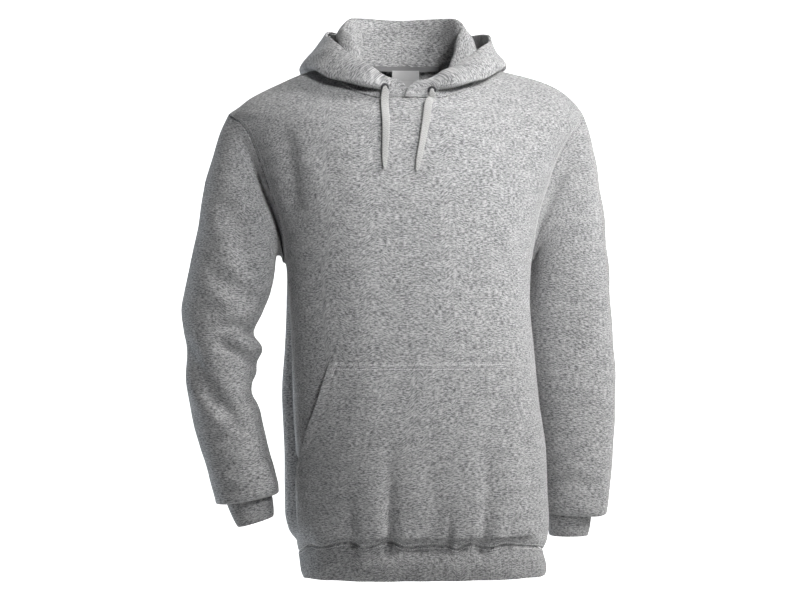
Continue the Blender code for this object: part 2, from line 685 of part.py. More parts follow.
def hood_front(side, x, z):
    """The hood's outer face at a place near the throat: the point and its outward direction."""
    turns = np.linspace(2, 40, 60)
    grid = np.array([hood_profile(side * turn, 3) for turn in turns])
    far = np.hypot(grid[..., 0] - x, grid[..., 2] - z) + (grid[..., 1] > 0) * 1.0
    row, step = np.unravel_index(np.argmin(far), far.shape)
    along = grid[row, step + 1] - grid[row, step - 1]
    around = grid[row + 1, step] - grid[row - 1, step]
    away = np.cross(along, around)
    away = away / np.linalg.norm(away)
    return grid[row, step], away if away[1] < 0 else -away


def make_eyelet(word, side, collection):
    """A metal ring pressed on the hood's outer face."""
    x, z = (value * MM for value in EYELETS[word])
    place, away = hood_front(side, x, z)
    profile = ((EYELET_HOLE, 0.6), (EYELET_HOLE * 1.25, 1), (EYELET_OUTER * 0.8, 1),
               (EYELET_OUTER, 0.5), (EYELET_OUTER, 0), (EYELET_HOLE, 0))
    mesh = bpy.data.meshes.new(f"eyelet_{word}")
    points = [(radius, 0, height * EYELET_THICKNESS) for radius, height in profile]
    ends = [(index, (index + 1) % len(points)) for index in range(len(points))]
    mesh.from_pydata(points, ends, [])
    obj = finish(bpy.data.objects.new(f"eyelet_{word}", mesh), "metal", collection)
    turned = obj.modifiers.new("Turned", "SCREW")
    turned.steps = turned.render_steps = 16
    turned.use_merge_vertices = True
    turned.merge_threshold = 0.00001
    rest = place + away * (LAYER_GAP / 2 + HOOD_WALL + 0.9 * MM)
    obj.location = rest.tolist()
    obj.rotation_mode = "QUATERNION"
    obj.rotation_quaternion = quaternion_from_z(away)
    return rest, away


def quaternion_from_z(axis):
    """The turn that takes +Z to an axis."""
    half = np.array([1 + axis[2], -axis[1], axis[0], 0])
    return (half / np.linalg.norm(half)).tolist()


def cord_route(word, start, away):
    """The drawstring's middle line, from the eyelet down the chest to its free end."""
    rows = CORD_ROUTES[word]
    down = np.array([0, 0, -1.0])
    down = down - away * (down @ away)
    first = start + away * (EYELET_THICKNESS + CORD_DIAMETER / 2 + 0.3 * MM)
    points = [first, first + down / np.linalg.norm(down) * EYELET_OUTER * 1.8]
    for x, z, clear in zip(rows["x"], rows["z"], rows["clear"]):
        y = chest_y(x * MM, z * MM) - clear * MM - CORD_DIAMETER / 2
        points.append(np.array([x * MM, min(y, points[1][1]), z * MM]))
    return np.array(points)


def make_drawstring(word, start, away, collection):
    route = cord_route(word, start, away)
    run = np.concatenate([[0], np.cumsum(np.linalg.norm(np.diff(route, axis=0), axis=1))])
    at = np.linspace(0, run[-1], 12)
    points = np.stack([through(run, route[:, axis], at) for axis in range(3)], -1)
    curve = bpy.data.curves.new(f"drawstring_{word}", "CURVE")
    curve.dimensions = "3D"
    curve.bevel_depth = CORD_DIAMETER / 2
    curve.bevel_resolution = 2
    curve.use_fill_caps = True
    line = curve.splines.new("POLY")
    line.points.add(len(points) - 1)
    for point, place in zip(line.points, points):
        point.co = (*place, 1)
    return finish(bpy.data.objects.new(f"drawstring_{word}", curve), "cord", collection)


def main():
    for obj in list(bpy.data.objects):
        bpy.data.objects.remove(obj)
    collection = bpy.data.collections.new("pullover_hoodie")
    bpy.context.scene.collection.children.link(collection)

    cloth("front", drawn_in(panel_grid("front")), WALL, "fleece", collection)
    cloth("back", drawn_in(panel_grid("back"))[:, ::-1], WALL, "fleece", collection)
    make_sleeve("sleeve_left", -1, LEFT_SLEEVE, collection)
    make_sleeve("sleeve_right", 1, RIGHT_SLEEVE, collection)
    make_cuff("cuff_left", -1, LEFT_SLEEVE, LEFT_CUFF_END, collection)
    make_cuff("cuff_right", 1, RIGHT_SLEEVE, RIGHT_CUFF_END, collection)
    make_hem_band(collection)
    make_pocket(collection)
    for word, side in (("left", -1), ("right", 1)):
        make_hood_half(word, side, collection)
        start, away = make_eyelet(word, side, collection)
        make_drawstring(word, start, away, collection)
    make_neck_tape(collection)
    make_label(collection)


main()
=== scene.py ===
import math

import bpy
import numpy as np
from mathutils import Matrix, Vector


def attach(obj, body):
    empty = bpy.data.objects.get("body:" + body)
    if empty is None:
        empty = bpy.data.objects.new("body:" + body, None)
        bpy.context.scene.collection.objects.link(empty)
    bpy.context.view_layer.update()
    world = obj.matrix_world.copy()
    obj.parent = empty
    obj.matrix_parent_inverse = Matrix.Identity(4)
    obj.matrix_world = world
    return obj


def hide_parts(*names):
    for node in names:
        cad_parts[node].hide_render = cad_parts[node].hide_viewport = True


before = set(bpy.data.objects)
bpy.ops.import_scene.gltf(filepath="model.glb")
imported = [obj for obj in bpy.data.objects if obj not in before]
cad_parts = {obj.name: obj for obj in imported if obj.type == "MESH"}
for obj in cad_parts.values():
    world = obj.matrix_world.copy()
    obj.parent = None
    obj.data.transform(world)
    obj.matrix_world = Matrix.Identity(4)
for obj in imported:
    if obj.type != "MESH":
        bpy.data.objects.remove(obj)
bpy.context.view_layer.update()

mm = 0.001
print("frame loaded:", len(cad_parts), "nodes")

# The view and the light.
view = {"distance": 3.2, "turn": -5.0, "target": (-0.00703, 0.0, -0.333), "frameWidth": 1.12,
        "sensor": 36.0}

turn = math.radians(view["turn"])
target = Vector(view["target"])
place = target + view["distance"] * Vector((math.sin(turn), -math.cos(turn), 0))
lens = bpy.data.cameras.new("camera")
lens.sensor_width = view["sensor"]
lens.lens = view["sensor"] * view["distance"] / view["frameWidth"]
camera = bpy.data.objects.new("camera", lens)
camera.location = place
camera.rotation_euler = (target - place).to_track_quat("-Z", "Y").to_euler()
bpy.context.scene.collection.objects.link(camera)
bpy.context.scene.camera = camera

studio = {
    "world": (0.93, 0.96, 1.0), "worldStrength": 0.02,
    "floorHeight": -1.20, "sweepBack": 4.2, "sweepRadius": 1.6, "sweepHeight": 4.0, "sweepHalfWidth": 7.0,
    "paper": (0.90, 0.90, 0.90), "paperGlow": (0.0, 1.0), "glowFrom": 0.9, "glowTo": 2.3,
    # each lamp: where it stands, what it aims at, its width, the spread of its grid in degrees,
    # its power and its colour
    "lamps": {
        "key": ((1.80, -1.15, 1.35), (0, 0, -0.33), 0.55, 180, 50.0, (1.0, 0.99, 0.97)),
        "side": ((2.4, -0.2, 0.6), (0, 0, -0.3), 0.6, 180, 14.0, (1.0, 1.0, 1.0)),
        "chest": ((0.50, -1.70, 0.60), (0.02, -0.1, -0.09), 0.3, 44, 1.6, (1.0, 1.0, 1.0)),
        "rim": ((-2.2, 1.9, -0.5), (-0.2, 0, -0.4), 0.7, 180, 26.0, (0.80, 0.90, 1.0)),
    },
}
bpy.context.scene.view_settings.view_transform = "Standard"


def addLamp(name, spot, aim, size, spread, power, colour):
    # a square soft lamp that the camera doesn't see
    lamp = bpy.data.lights.new(name, "AREA")
    lamp.size = size
    lamp.spread = math.radians(spread)
    lamp.energy = power
    lamp.color = colour
    stand = bpy.data.objects.new(name, lamp)
    stand.location = spot
    stand.rotation_euler = (Vector(aim) - Vector(spot)).to_track_quat("-Z", "Y").to_euler()
    stand.visible_camera = False
    bpy.context.scene.collection.objects.link(stand)


for name, spec in studio["lamps"].items():
    addLamp(name, *spec)
world = bpy.data.worlds.new("studio")
world.use_nodes = True
sky = world.node_tree.nodes["Background"]
sky.inputs["Color"].default_value = (*studio["world"], 1)
sky.inputs["Strength"].default_value = studio["worldStrength"]
bpy.context.scene.world = world


class Value:
    # a node's output; Python expressions on it add Math nodes
    def __init__(self, paint, socket):
        self.paint, self.socket = paint, socket

    def math(self, operation, first, second=0.0):
        return self.paint.node("ShaderNodeMath", {"operation": operation}, {0: first, 1: second})

    def __add__(self, other):
        return self.math("ADD", self, other)

    def __radd__(self, other):
        return self.math("ADD", other, self)

    def __sub__(self, other):
        return self.math("SUBTRACT", self, other)

    def __rsub__(self, other):
        return self.math("SUBTRACT", other, self)

    def __mul__(self, other):
        return self.math("MULTIPLY", self, other)

    def __rmul__(self, other):
        return self.math("MULTIPLY", other, self)

    def __abs__(self):
        return self.math("ABSOLUTE", self)

    def sine(self):
        return self.math("SINE", self)

    def fraction(self):
        return self.math("FRACT", self)


class Paint:
    # one material and the nodes that make it
    def __init__(self, name, roughness, metallic=0.0, sheen=0.0):
        self.material = bpy.data.materials.new(name)
        self.material.use_nodes = True
        self.nodes = self.material.node_tree.nodes
        self.links = self.material.node_tree.links
        self.shader = self.nodes["Principled BSDF"]
        self.shader.inputs["Roughness"].default_value = roughness
        self.shader.inputs["Metallic"].default_value = metallic
        self.shader.inputs["Sheen Weight"].default_value = sheen
        self.shader.inputs["Sheen Roughness"].default_value = 0.6

    def node(self, kind, settings=None, sockets=None, output=0):
        made = self.nodes.new(kind)
        for key, value in (settings or {}).items():
            if key == "stops":
                while len(made.color_ramp.elements) > 1:
                    made.color_ramp.elements.remove(made.color_ramp.elements[-1])
                made.color_ramp.elements[0].position = value[0][0]
                made.color_ramp.elements[0].color = (*value[0][1], 1)
                for position, colour in value[1:]:
                    made.color_ramp.elements.new(position).color = (*colour, 1)
            else:
                setattr(made, key, value)
        for key, value in (sockets or {}).items():
            if isinstance(value, Value):
                self.links.new(value.socket, made.inputs[key])
            else:
                made.inputs[key].default_value = value
        return Value(self, made.outputs[output])

    def feed(self, name, value):
        self.links.new(value.socket, self.shader.inputs[name])

    def cloth(self, scale, move=(0, 0, 0)):
        # the cloth's own coordinates in metres, scaled and moved
        flow = self.node("ShaderNodeUVMap", {"uv_map": "weave"})
        return self.node("ShaderNodeMapping", {}, {"Vector": flow, "Scale": (*scale, 1), "Location": move})

    def directions(self, order=(0, 1)):
        # the cloth's two coordinates, each on its own
        flow = self.node("ShaderNodeSeparateXYZ", {}, {0: self.cloth((1, 1))})
        return [Value(self, flow.socket.node.outputs[index]) for index in order]

    def noise(self, vector, detail, roughness):
        return self.node("ShaderNodeTexNoise", {"noise_dimensions": "2D"},
                         {"Vector": vector, "Scale": 1.0, "Detail": detail, "Roughness": roughness})

    def mix(self, share, first, second):
        return self.node("ShaderNodeMix", {"data_type": "RGBA"}, {0: share, 6: first, 7: second}, 2)

    def shaded(self, share, colour, dark):
        # the colour, darkened where the share is low
        return self.mix(share, tuple(channel * dark for channel in colour) + (1,), colour + (1,))

    def bump(self, height, distance, strength):
        self.feed("Normal", self.node("ShaderNodeBump", {}, {"Height": height, "Distance": distance,
                                                             "Strength": strength}))


# Materials.
heather = {
    # length and height of a fleck of dyed fibre, of the shorter ones on the hood, of the fine ones
    # between and of the slow unevenness
    "dash": (0.0056, 0.0015), "shortDash": (0.0034, 0.0020), "fine": (0.0024, 0.0011),
    "cloud": (0.035, 0.012),
    "wale": 0.00125, "course": 0.00100,  # one knitted loop
    "dark": (0.115, 0.117, 0.122), "middle": (0.335, 0.336, 0.341), "light": (0.62, 0.62, 0.625),
    "stops": {"dark": 0.37, "middle": 0.49, "light": 0.62},
    "fuzz": 0.35, "relief": 0.00035,
}


def heatherPaint(name, tone=1.0, swap=False, loops=1.0):
    # melange knit: stretched flecks darker and lighter than the ground, a slow unevenness, and
    # knitted loops; swap lays all of it along the columns
    paint = Paint(name, 0.92, sheen=heather["fuzz"])
    order = (1, 0) if swap else (0, 1)

    def flecks(key, move, detail, roughness):
        scale = [1 / heather[key][index] for index in order]
        return paint.noise(paint.cloth(scale, move), detail, roughness)

    dash = flecks("shortDash" if swap else "dash", (0, 0, 0), 2.0, 0.62)
    fine = flecks("fine", (3.7, 1.9, 0), 1.0, 0.5)
    cloud = flecks("cloud", (8.1, 5.3, 0), 2.0, 0.55)
    fleck = dash * 0.62 + fine * 0.26 + cloud * 0.12
    stops = [(at, tuple(channel * tone for channel in heather[key])) for key, at in heather["stops"].items()]
    paint.feed("Base Color", paint.node("ShaderNodeValToRGB", {"stops": stops}, {0: fleck}))
    side, along = paint.directions(order)
    column = abs((side * (1 / heather["wale"])).fraction() - 0.5)
    stitch = (along * (2 * math.pi / heather["course"]) + column * 7.0).sine()
    paint.bump((0.5 - column) * loops + stitch * 0.3 * loops + fleck * 1.2, heather["relief"], 0.55)
    return paint.material


fleecePaint = heatherPaint("heatherFleece")
hoodPaint = heatherPaint("heatherHood", swap=True)
liningPaint = heatherPaint("heatherLining", tone=0.98)
ribPaint = heatherPaint("heatherRib", tone=0.84, loops=0.6)


def braidPaint(name, colour, yarnAcross=0.0050, yarnAlong=0.0034):
    # flat braid: two sets of slanting yarns that cross, shown by a zigzag in height; the tone darkens with the
    # same zigzag in its hollows as painted shade, over a fibre mottle of the cord's own
    paint = Paint(name, 0.75, sheen=0.3)
    side, along = paint.directions()
    zigzag = abs((side * (1 / yarnAcross)).fraction() - 0.5)
    yarn = (along * (2 * math.pi / yarnAlong) + zigzag * 9.0).sine()
    fibre = paint.noise(paint.cloth((620, 240)), 2.0, 0.6)
    # painted shade: the colour is darker where the yarn zigzag is low
    paint.feed("Base Color", paint.shaded(yarn * 0.30 + fibre * 0.8 + 0.10, colour, 0.52))
    paint.bump(yarn * 0.6 + fibre * 0.5, 0.0007, 0.8)
    return paint.material


cordPaint = braidPaint("drawstringBraid", (0.62, 0.62, 0.61))


def wovenPaint(name, colour, thread, roughness):
    # plain woven band: threads that go over and under, in rows a thread apart; the colour is darker where the
    # threads dip, as painted shade, and varies slowly at random
    paint = Paint(name, roughness, sheen=0.1)
    side, along = paint.directions()
    weave = (side * (2 * math.pi / thread)).sine() * (along * (2 * math.pi / thread)).sine()
    grime = paint.noise(paint.cloth((90, 90)), 3.0, 0.6)
    # painted shade: the weave term darkens the colour where the threads go under
    paint.feed("Base Color", paint.shaded(weave * 0.15 + grime * 0.6, colour, 0.82))
    paint.bump(weave, 0.00012, 0.5)
    return paint.material


labelPaint = wovenPaint("labelSatin", (0.52, 0.52, 0.525), 0.0007, 0.55)
# the neck tape's colour is partly its own darker grey and partly painted shade: darkened to stand for the shade
# inside the back of the neck
shadeDarkenedTapePaint = wovenPaint("neckTapeTwill", (0.22, 0.22, 0.225), 0.0012, 0.85)


def threadPaint():
    # light sewing thread, its colour painted a little darker in a fine noise as shade where its twist turns
    # away
    paint = Paint("coverstitchThread", 0.7, sheen=0.2)
    twist = paint.noise(paint.cloth((1500, 1500)), 1.0, 0.5)
    # painted shade: the thread is darker where the twist noise is low
    paint.feed("Base Color", paint.mix(twist, (0.60, 0.60, 0.605, 1), (0.90, 0.90, 0.905, 1)))
    paint.bump(twist, 0.0001, 0.5)
    return paint.material


stitchPaint = threadPaint()


def eyeletPaint():
    # dark nickel, dulled unevenly and rubbed brighter here and there
    paint = Paint("darkNickel", 0.34, metallic=1.0)
    spot = paint.node("ShaderNodeTexCoord", {}, {}, "Object")
    rub = paint.node("ShaderNodeTexNoise", {}, {"Vector": spot, "Scale": 900.0, "Detail": 3.0})
    paint.feed("Base Color", paint.mix(rub, (0.055, 0.055, 0.06, 1), (0.22, 0.22, 0.23, 1)))
    paint.feed("Roughness", rub * 0.3 + 0.2)
    return paint.material


nickelPaint = eyeletPaint()
print("materials made")


# Tables, curves and meshes.
def table(columns, *rows):
    # the named columns of a short table, each an array
    values = np.array(rows, float)
    return {name: values[:, index] for index, name in enumerate(columns.split())}


def smooth(stations, values, at):
    # a smooth curve through the values that never swings past them (monotone cubic)
    step = np.diff(stations)
    rise = np.diff(values) / step
    before, after = rise[:-1], rise[1:]
    sameWay = before * after > 0
    heavy, slight = 2 * step[1:] + step[:-1], step[1:] + 2 * step[:-1]
    bottom = np.where(sameWay, heavy * after + slight * before, 1)
    slope = np.zeros(len(values))
    slope[1:-1] = np.where(sameWay, (heavy + slight) * before * after / bottom, 0)
    slope[0], slope[-1] = rise[0], rise[-1]
    at = np.clip(at, stations[0], stations[-1])
    index = np.clip(np.searchsorted(stations, at, side="right") - 1, 0, len(step) - 1)
    return hermite(values[index], values[index + 1], slope[index], slope[index + 1], step[index],
                   (at - stations[index]) / step[index])


def hermite(start, end, startSlope, endSlope, width, t):
    # a cubic between two values with a slope at each
    return (start * (1 + 2 * t) * (1 - t) ** 2 + startSlope * width * t * (1 - t) ** 2
            + end * t * t * (3 - 2 * t) - endSlope * width * t * t * (1 - t))


def limited(values):
    # values held between 0 and 1
    return np.clip(values, 0, 1)


def bell(at, middle, width):
    # 1 at the middle; elsewhere e to minus the square of the distance counted in widths
    return np.exp(-((at - middle) / width) ** 2)


def unit(vectors):
    # the same directions, one long
    return vectors / np.maximum(np.linalg.norm(vectors, axis=-1, keepdims=True), 1e-12)


def closed(grid):
    # the grid with its first column again after its last
    return np.concatenate([grid, grid[:, :1]], 1)


def runOf(line):
    # how far along a line each of its points lies
    return np.concatenate([[0], np.cumsum(np.linalg.norm(np.diff(line, axis=0), axis=1))])


def readAt(rows, run, at):
    # rows of three values, read at given distances along their line
    return np.stack([np.interp(at, run, rows[:, axis]) for axis in range(3)], -1)


def through(legs, values, steps):
    # a rounded curve through rows of values (Catmull-Rom), with a count of steps to each row
    rise = np.diff(values, axis=0) / legs
    slope = np.empty(values.shape)
    slope[1:-1] = (rise[:-1] * legs[1:] + rise[1:] * legs[:-1]) / (legs[1:] + legs[:-1])
    slope[0], slope[-1] = 2 * rise[0] - slope[1], 2 * rise[-1] - slope[-2]
    made = [values[:1]]
    for index, count in enumerate(steps):
        t = np.linspace(0, 1, count + 1)[1:].reshape((-1,) + (1,) * (values.ndim - 1))
        made.append(hermite(values[index], values[index + 1], slope[index], slope[index + 1], legs[index], t))
    return np.concatenate(made)


def normalsOf(grid, around=False):
    # outward directions: along the columns crossed with up the rows
    up = np.gradient(grid, axis=0)
    right = np.roll(grid, -1, 1) - np.roll(grid, 1, 1) if around else np.gradient(grid, axis=1)
    return unit(np.cross(right, up))


def weaveOf(grid, around=False):
    # the cloth's coordinates: metres along each row from its middle, and up each column, measured
    # from a tube's last ring, which is its straightest
    grid = closed(grid) if around else grid
    across = np.cumsum(np.linalg.norm(np.diff(grid, axis=1, prepend=grid[:, :1]), axis=2), axis=1)
    up = np.cumsum(np.linalg.norm(np.diff(grid, axis=0, prepend=grid[:1]), axis=2), axis=0)
    middle = across.shape[1] // 2
    return np.stack([across - across[:, middle:middle + 1], up - up[-1:] if around else up], -1)


def addMesh(name, points, faces, flow, paint):
    # a smooth piece; flow holds the cloth's coordinates at each corner of each face
    mesh = bpy.data.meshes.new(name)
    mesh.from_pydata(points.tolist(), [], faces)
    layer = mesh.uv_layers.new(name="weave")
    layer.data.foreach_set("uv", flow.astype(np.float32).ravel())
    mesh.shade_smooth()
    mesh.materials.append(paint)
    piece = bpy.data.objects.new(name, mesh)
    bpy.context.scene.collection.objects.link(piece)
    return piece


def quads(number):
    # the four corners of each cell of a numbered grid
    return np.stack([number[:-1, :-1], number[:-1, 1:], number[1:, 1:], number[1:, :-1]], -1).reshape(-1, 4)


def clothWall(name, grid, paint, outer=0.0, inner=-2.0 * mm, around=False):
    # A cloth wall: the grid moved along its normals to an outer and an inner face, with each edge
    # closed by half a round as thick as the wall.
    rows, columns = grid.shape[:2]
    away, half, rimSteps = normalsOf(grid, around), (outer - inner) / 2, 4
    number = np.arange(rows * columns).reshape(rows, columns)
    wrapped = closed(number) if around else number
    flow, flowNumber = weaveOf(grid, around).reshape(-1, 2), np.arange(wrapped.size).reshape(wrapped.shape)
    faces = [quads(wrapped), quads(wrapped)[:, ::-1] + rows * columns]
    flows = [flow[quads(flowNumber)], flow[quads(flowNumber)[:, ::-1]]]
    centre = grid + away * ((outer + inner) / 2)
    points = [(centre + away * half).reshape(-1, 3), (centre - away * half).reshape(-1, 3)]
    edges = [number[0], number[-1][::-1]] if around else [
        np.concatenate([number[0, :-1], number[:-1, -1], number[-1, :0:-1], number[:0:-1, 0]])]
    count = 2 * rows * columns
    flowAt = flow[flowNumber[:, :columns].ravel()]
    for ring in edges:
        middle, way = centre.reshape(-1, 3)[ring], away.reshape(-1, 3)[ring]
        out = unit(np.cross(np.roll(middle, -1, 0) - np.roll(middle, 1, 0), way))
        levels = [ring]
        for step in range(1, rimSteps):
            angle = math.pi * step / rimSteps
            points.append(middle + way * half * math.cos(angle) + out * half * math.sin(angle))
            levels.append(np.arange(count, count + len(ring)))
            count += len(ring)
        levels.append(ring + rows * columns)
        band = closed(np.stack(levels))
        faces.append(np.stack([band[:-1, :-1], band[1:, :-1], band[1:, 1:], band[:-1, 1:]], -1).reshape(-1, 4))
        here, there = (np.broadcast_to(flowAt[ends], (rimSteps, len(ring), 2))
                       for ends in (ring, np.roll(ring, -1)))
        flows.append(np.stack([here, here, there, there], 2).reshape(-1, 4, 2))
    return addMesh(name, np.concatenate(points), np.concatenate(faces).tolist(), np.concatenate(flows), paint)


def clothArea(grid, around=False):
    # square metres of a grid's face, for the size that the cloth was cut to
    grid = closed(grid) if around else grid
    one, two = grid[1:, 1:] - grid[:-1, :-1], grid[1:, :-1] - grid[:-1, 1:]
    return float(np.linalg.norm(np.cross(one, two), axis=2).sum() / 2)


def ripples(a, b, size, height, seed):
    # a sum of long waves in random directions, for cloth that is never quite even
    rng = np.random.default_rng(seed)
    total = 0.0
    ways, phases, grows = rng.uniform(0, math.pi, 9), rng.uniform(0, 2 * math.pi, 9), rng.uniform(0.6, 1.8, 9)
    for way, phase, grow in zip(ways, phases, grows):
        total = total + np.sin((a * math.cos(way) + b * math.sin(way)) * 2 * math.pi / (size * grow) + phase)
    return total * height / 3


def besideLine(x0, z0, x1, z1, x, z):
    # how far along a line a place lies, as a share of the line, and how far to its side
    run = np.array([x1 - x0, z1 - z0]) * mm
    length = math.hypot(*run)
    toX, toZ = x - x0 * mm, z - z0 * mm
    return (toX * run[0] + toZ * run[1]) / length ** 2, (toX * run[1] - toZ * run[0]) / length


def creaseTable(*rows):
    # soft creases: from one point to the other, sideways bow, depth, half width, share of ridge
    return table("x0 z0 x1 z1 bow depth width ridge", *rows)


def creases(rows, x, z):
    # Depth of the creases at a place seen from the front. Each runs between two points along a
    # bowed line: a bell-shaped trough with a lower ridge beside it, dying out at both ends.
    depth = 0.0
    for x0, z0, x1, z1, bow, deep, width, ridge in zip(*(rows[name] for name in rows)):
        along, aside = besideLine(x0, z0, x1, z1, x, z)
        aside = (aside - bow * mm * 4 * along * (1 - along)) / (width * mm)
        fade = limited(1 - np.abs(2 * along - 1) ** 2.5)
        shape = np.exp(-aside ** 2) - ridge * bell(aside, 1.8, 1.1)
        depth = depth + deep * mm * fade * shape
    return depth


def window(z, top, topFade, bottom, bottomFade):
    # 1 between two heights, falling to 0 over a distance inside each
    return limited((top - z) / topFade) * limited((z - bottom) / bottomFade)


def register(piece, slot, *nodes):
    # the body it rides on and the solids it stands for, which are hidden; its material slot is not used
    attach(piece, "root")
    if nodes:
        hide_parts(*nodes)


# The body: front, back and the forms that both share.
body = {
    "wall": 2.0 * mm, "seamGap": 0.3 * mm,
    "neckHalfWidth": 105 * mm, "throatShift": -4 * mm, "shoulderSeamY": 12 * mm,
    "shoulderRoll": 150 * mm, "rollPower": 2.2, "armpit": -284 * mm,
    "hemSeam": -664 * mm, "hemSideDrop": 18 * mm, "hemPinch": 6 * mm, "hemPinchHeight": 8 * mm,
    "blouse": 3 * mm, "blouseHeight": 30 * mm, "hemHalf": 172 * mm, "hemMiddle": 22 * mm,
    # level sections: side edges, front and back at their middles, depth of the side seam, how far
    # round each panel reaches before the armhole cuts it, squareness
    "sections": table(
        "height left right front back seam frontCut backCut power",
        (-690, -149, 193, -122, 112, -8, 90, 90, 2.5),
        (-665, -152, 199, -126, 117, -8, 90, 90, 2.5),
        (-640, -151, 200, -129, 119, -8, 90, 90, 2.5),
        (-600, -150, 198, -129, 118, -8, 90, 90, 2.5),
        (-543, -153, 196, -128, 113, -8, 90, 90, 2.5),
        (-473, -157, 186, -127, 106, -8, 90, 90, 2.5),
        (-403, -159, 179, -126, 102, -8, 90, 90, 2.5),
        (-333, -163, 173, -126, 103, -8, 90, 90, 2.5),
        (-284, -167, 175, -127, 108, -8, 90, 90, 2.5),
        (-280, -168, 175.5, -127, 109, -8, 85.5, 85.5, 2.5),
        (-270, -169, 176, -127, 110, -7, 82, 82, 2.5),
        (-250, -171, 178, -127, 112, -6, 79, 79, 2.5),
        (-206, -181, 187, -127, 115, -3, 76.5, 77, 2.4),
        (-181, -190, 195, -126, 116, 0, 75, 76, 2.4),
        (-141, -204, 209, -122, 116, 4, 72.5, 74, 2.3),
        (-106, -218, 229, -116, 113, 8, 69, 71, 2.3),
        (-88, -230, 244, -112, 110, 10, 66, 69, 2.2),
        (-72, -248, 252, -104, 107, 12, 64, 66, 2.2),
        (-30, -248, 252, -89, 100, 12, 64, 66, 2.2),
        (10, -248, 252, -82, 96, 12, 64, 66, 2.2)),
    "shoulders": table(
        "x height",
        (-262, -90), (-248, -75), (-231, -63), (-217, -52), (-197, -41), (-174, -30), (-147, -18),
        (-105, -4), (-55, 18), (0, 27), (55, 18), (105, -4), (130, -9.5), (153, -14.5), (188, -23.5),
        (215, -34.5), (229, -44), (240, -54), (252, -68.5), (264, -86)),
    "neckline": table(
        "angle height",
        (0, -56), (22, -57.5), (35, -53), (48, -45.5), (60, -37), (70, -27), (80, -14), (90, -4),
        (105, -5), (125, -5), (150, -4), (180, -4)),
    "gathers": {
        "front": table("x depth width length",
                       (-84, 8, 9, 45), (-32, 12, 10, 85), (50, 9, 5, 28), (14, 8, 34, 46),
                       (98, 9, 9, 62), (70, 4, 7, 24), (-60, 4, 7, 22), (135, 4, 8, 30)),
        "back": table("x depth width length",
                      (-96, 4, 10, 60), (-38, 4, 10, 45), (30, 5, 11, 75), (92, 4, 10, 50))},
    "folds": {
        "front": table("x0 z0 x1 z1 depth width",
                       (-172, -95, -158, -225, 7, 13), (176, -120, 160, -250, 3, 16)),
        "back": table("x0 z0 x1 z1 depth width",
                      (-150, -110, -136, -260, 5, 16), (150, -120, 138, -270, 5, 16),
                      (-40, -400, 60, -430, 4, 22))},
    # the back's fold beside the left seam and the groove next to it: their depths at each height,
    # their middles in degrees round the panel and their half widths
    "sideFold": table(
        "height bulge groove",
        (-690, 2, 0), (-676, 6, 1), (-655, 20, 5), (-630, 25, 9), (-600, 25, 12), (-543, 22, 13),
        (-473, 22, 13), (-403, 16, 12), (-333, 9, 9), (-270, 2, 4), (-230, 0, 0)),
    "bulgeTurn": (66, 13), "grooveTurn": (80, 5),
    # the pocket's slanted sides, and the narrow trough that runs in the front beside each mouth
    "pocketMiddle": 12 * mm,
    "pocketSides": table("height halfWidth", (-655, 160), (-600, 162), (-564, 162), (-536, 156),
                         (-507, 148), (-465, 134), (-418, 122)),
    "mouthTrough": {"left": 14 * mm, "right": 5 * mm, "inside": 0.3 * mm, "width": 3.3 * mm,
                    "ends": (-424 * mm, 20 * mm, -655 * mm, 30 * mm)},
    # the rib seam's rise and fall along the front
    "hemWave": table("x rise", (-150, 0), (-134, 5), (-115, -1), (-84, 4), (-62, -3), (-32, 4.5), (-10, -3),
                     (24, -1), (47, -2.5), (58, -6), (74, 0.5), (100, -5), (122, -1), (150, -3), (190, 0)),
    "creases": {
        "front": creaseTable(
            (-150, -92, -96, -205, -8, 1.6, 15, 0.4),
            (150, -75, 118, -190, 8, 1.3, 18, 0.4),
            (-160, -300, -70, -345, 8, 1.4, 16, 0.5),
            (168, -262, 96, -318, -8, 1.2, 18, 0.5),
            (-150, -520, -84, -655, 10, 2.0, 12, 0.5),
            (-20, -590, -36, -664, 4, 1.6, 9, 0.6),
            (20, -545, 50, -664, 7, 1.6, 12, 0.6),
            (88, -520, 108, -664, -8, 2.0, 12, 0.6),
            (150, -470, 168, -660, -6, 1.6, 12, 0.5),
            (-120, -60, -20, -78, -6, 0.9, 9, 0.5),
            (20, -82, 120, -58, -6, 0.9, 9, 0.5)),
        "back": creaseTable(
            (-140, -120, -60, -250, -12, 2.2, 17, 0.5),
            (140, -130, 70, -260, 12, 2.2, 17, 0.5),
            (-70, -170, 80, -180, 14, 1.6, 20, 0.5),
            (-110, -470, 70, -520, 16, 2.4, 20, 0.5),
            (120, -430, -30, -560, -14, 2.0, 18, 0.5),
            (-96, -540, -80, -664, 6, 2.0, 11, 0.6),
            (-30, -575, -40, -664, -4, 1.6, 10, 0.6),
            (34, -540, 26, -664, 6, 2.0, 12, 0.6),
            (98, -560, 90, -664, -6, 1.8, 11, 0.6))},
    "unevenness": 0.9 * mm, "unevenSize": 120 * mm, "puckers": 1.1 * mm, "puckerSize": 21 * mm,
    "puckerRise": 16 * mm,
}
panelSeeds = {"front": 11, "back": 12}
neckTurns = np.array([0, 7, 15, 22, 30, 45, 60, 72, 90, 105, 120, 140, 160, 180.0])
fineness = {"columns": 9, "rows": 176, "shoulderColumns": 5, "fan": 10}


def fromTable(rows, key, name, at):
    # a column of a table in millimetres, read at a place in metres
    return smooth(rows[key] * mm, rows[name] * mm, at)


def shoulderHeight(x):
    # height of the shoulder seams' line, carried across the neck
    return fromTable(body["shoulders"], "x", "height", x)


def neckHeight(angle):
    # height of the neck seam at an angle from the throat
    return smooth(body["neckline"]["angle"], body["neckline"]["height"] * mm, np.abs(angle))


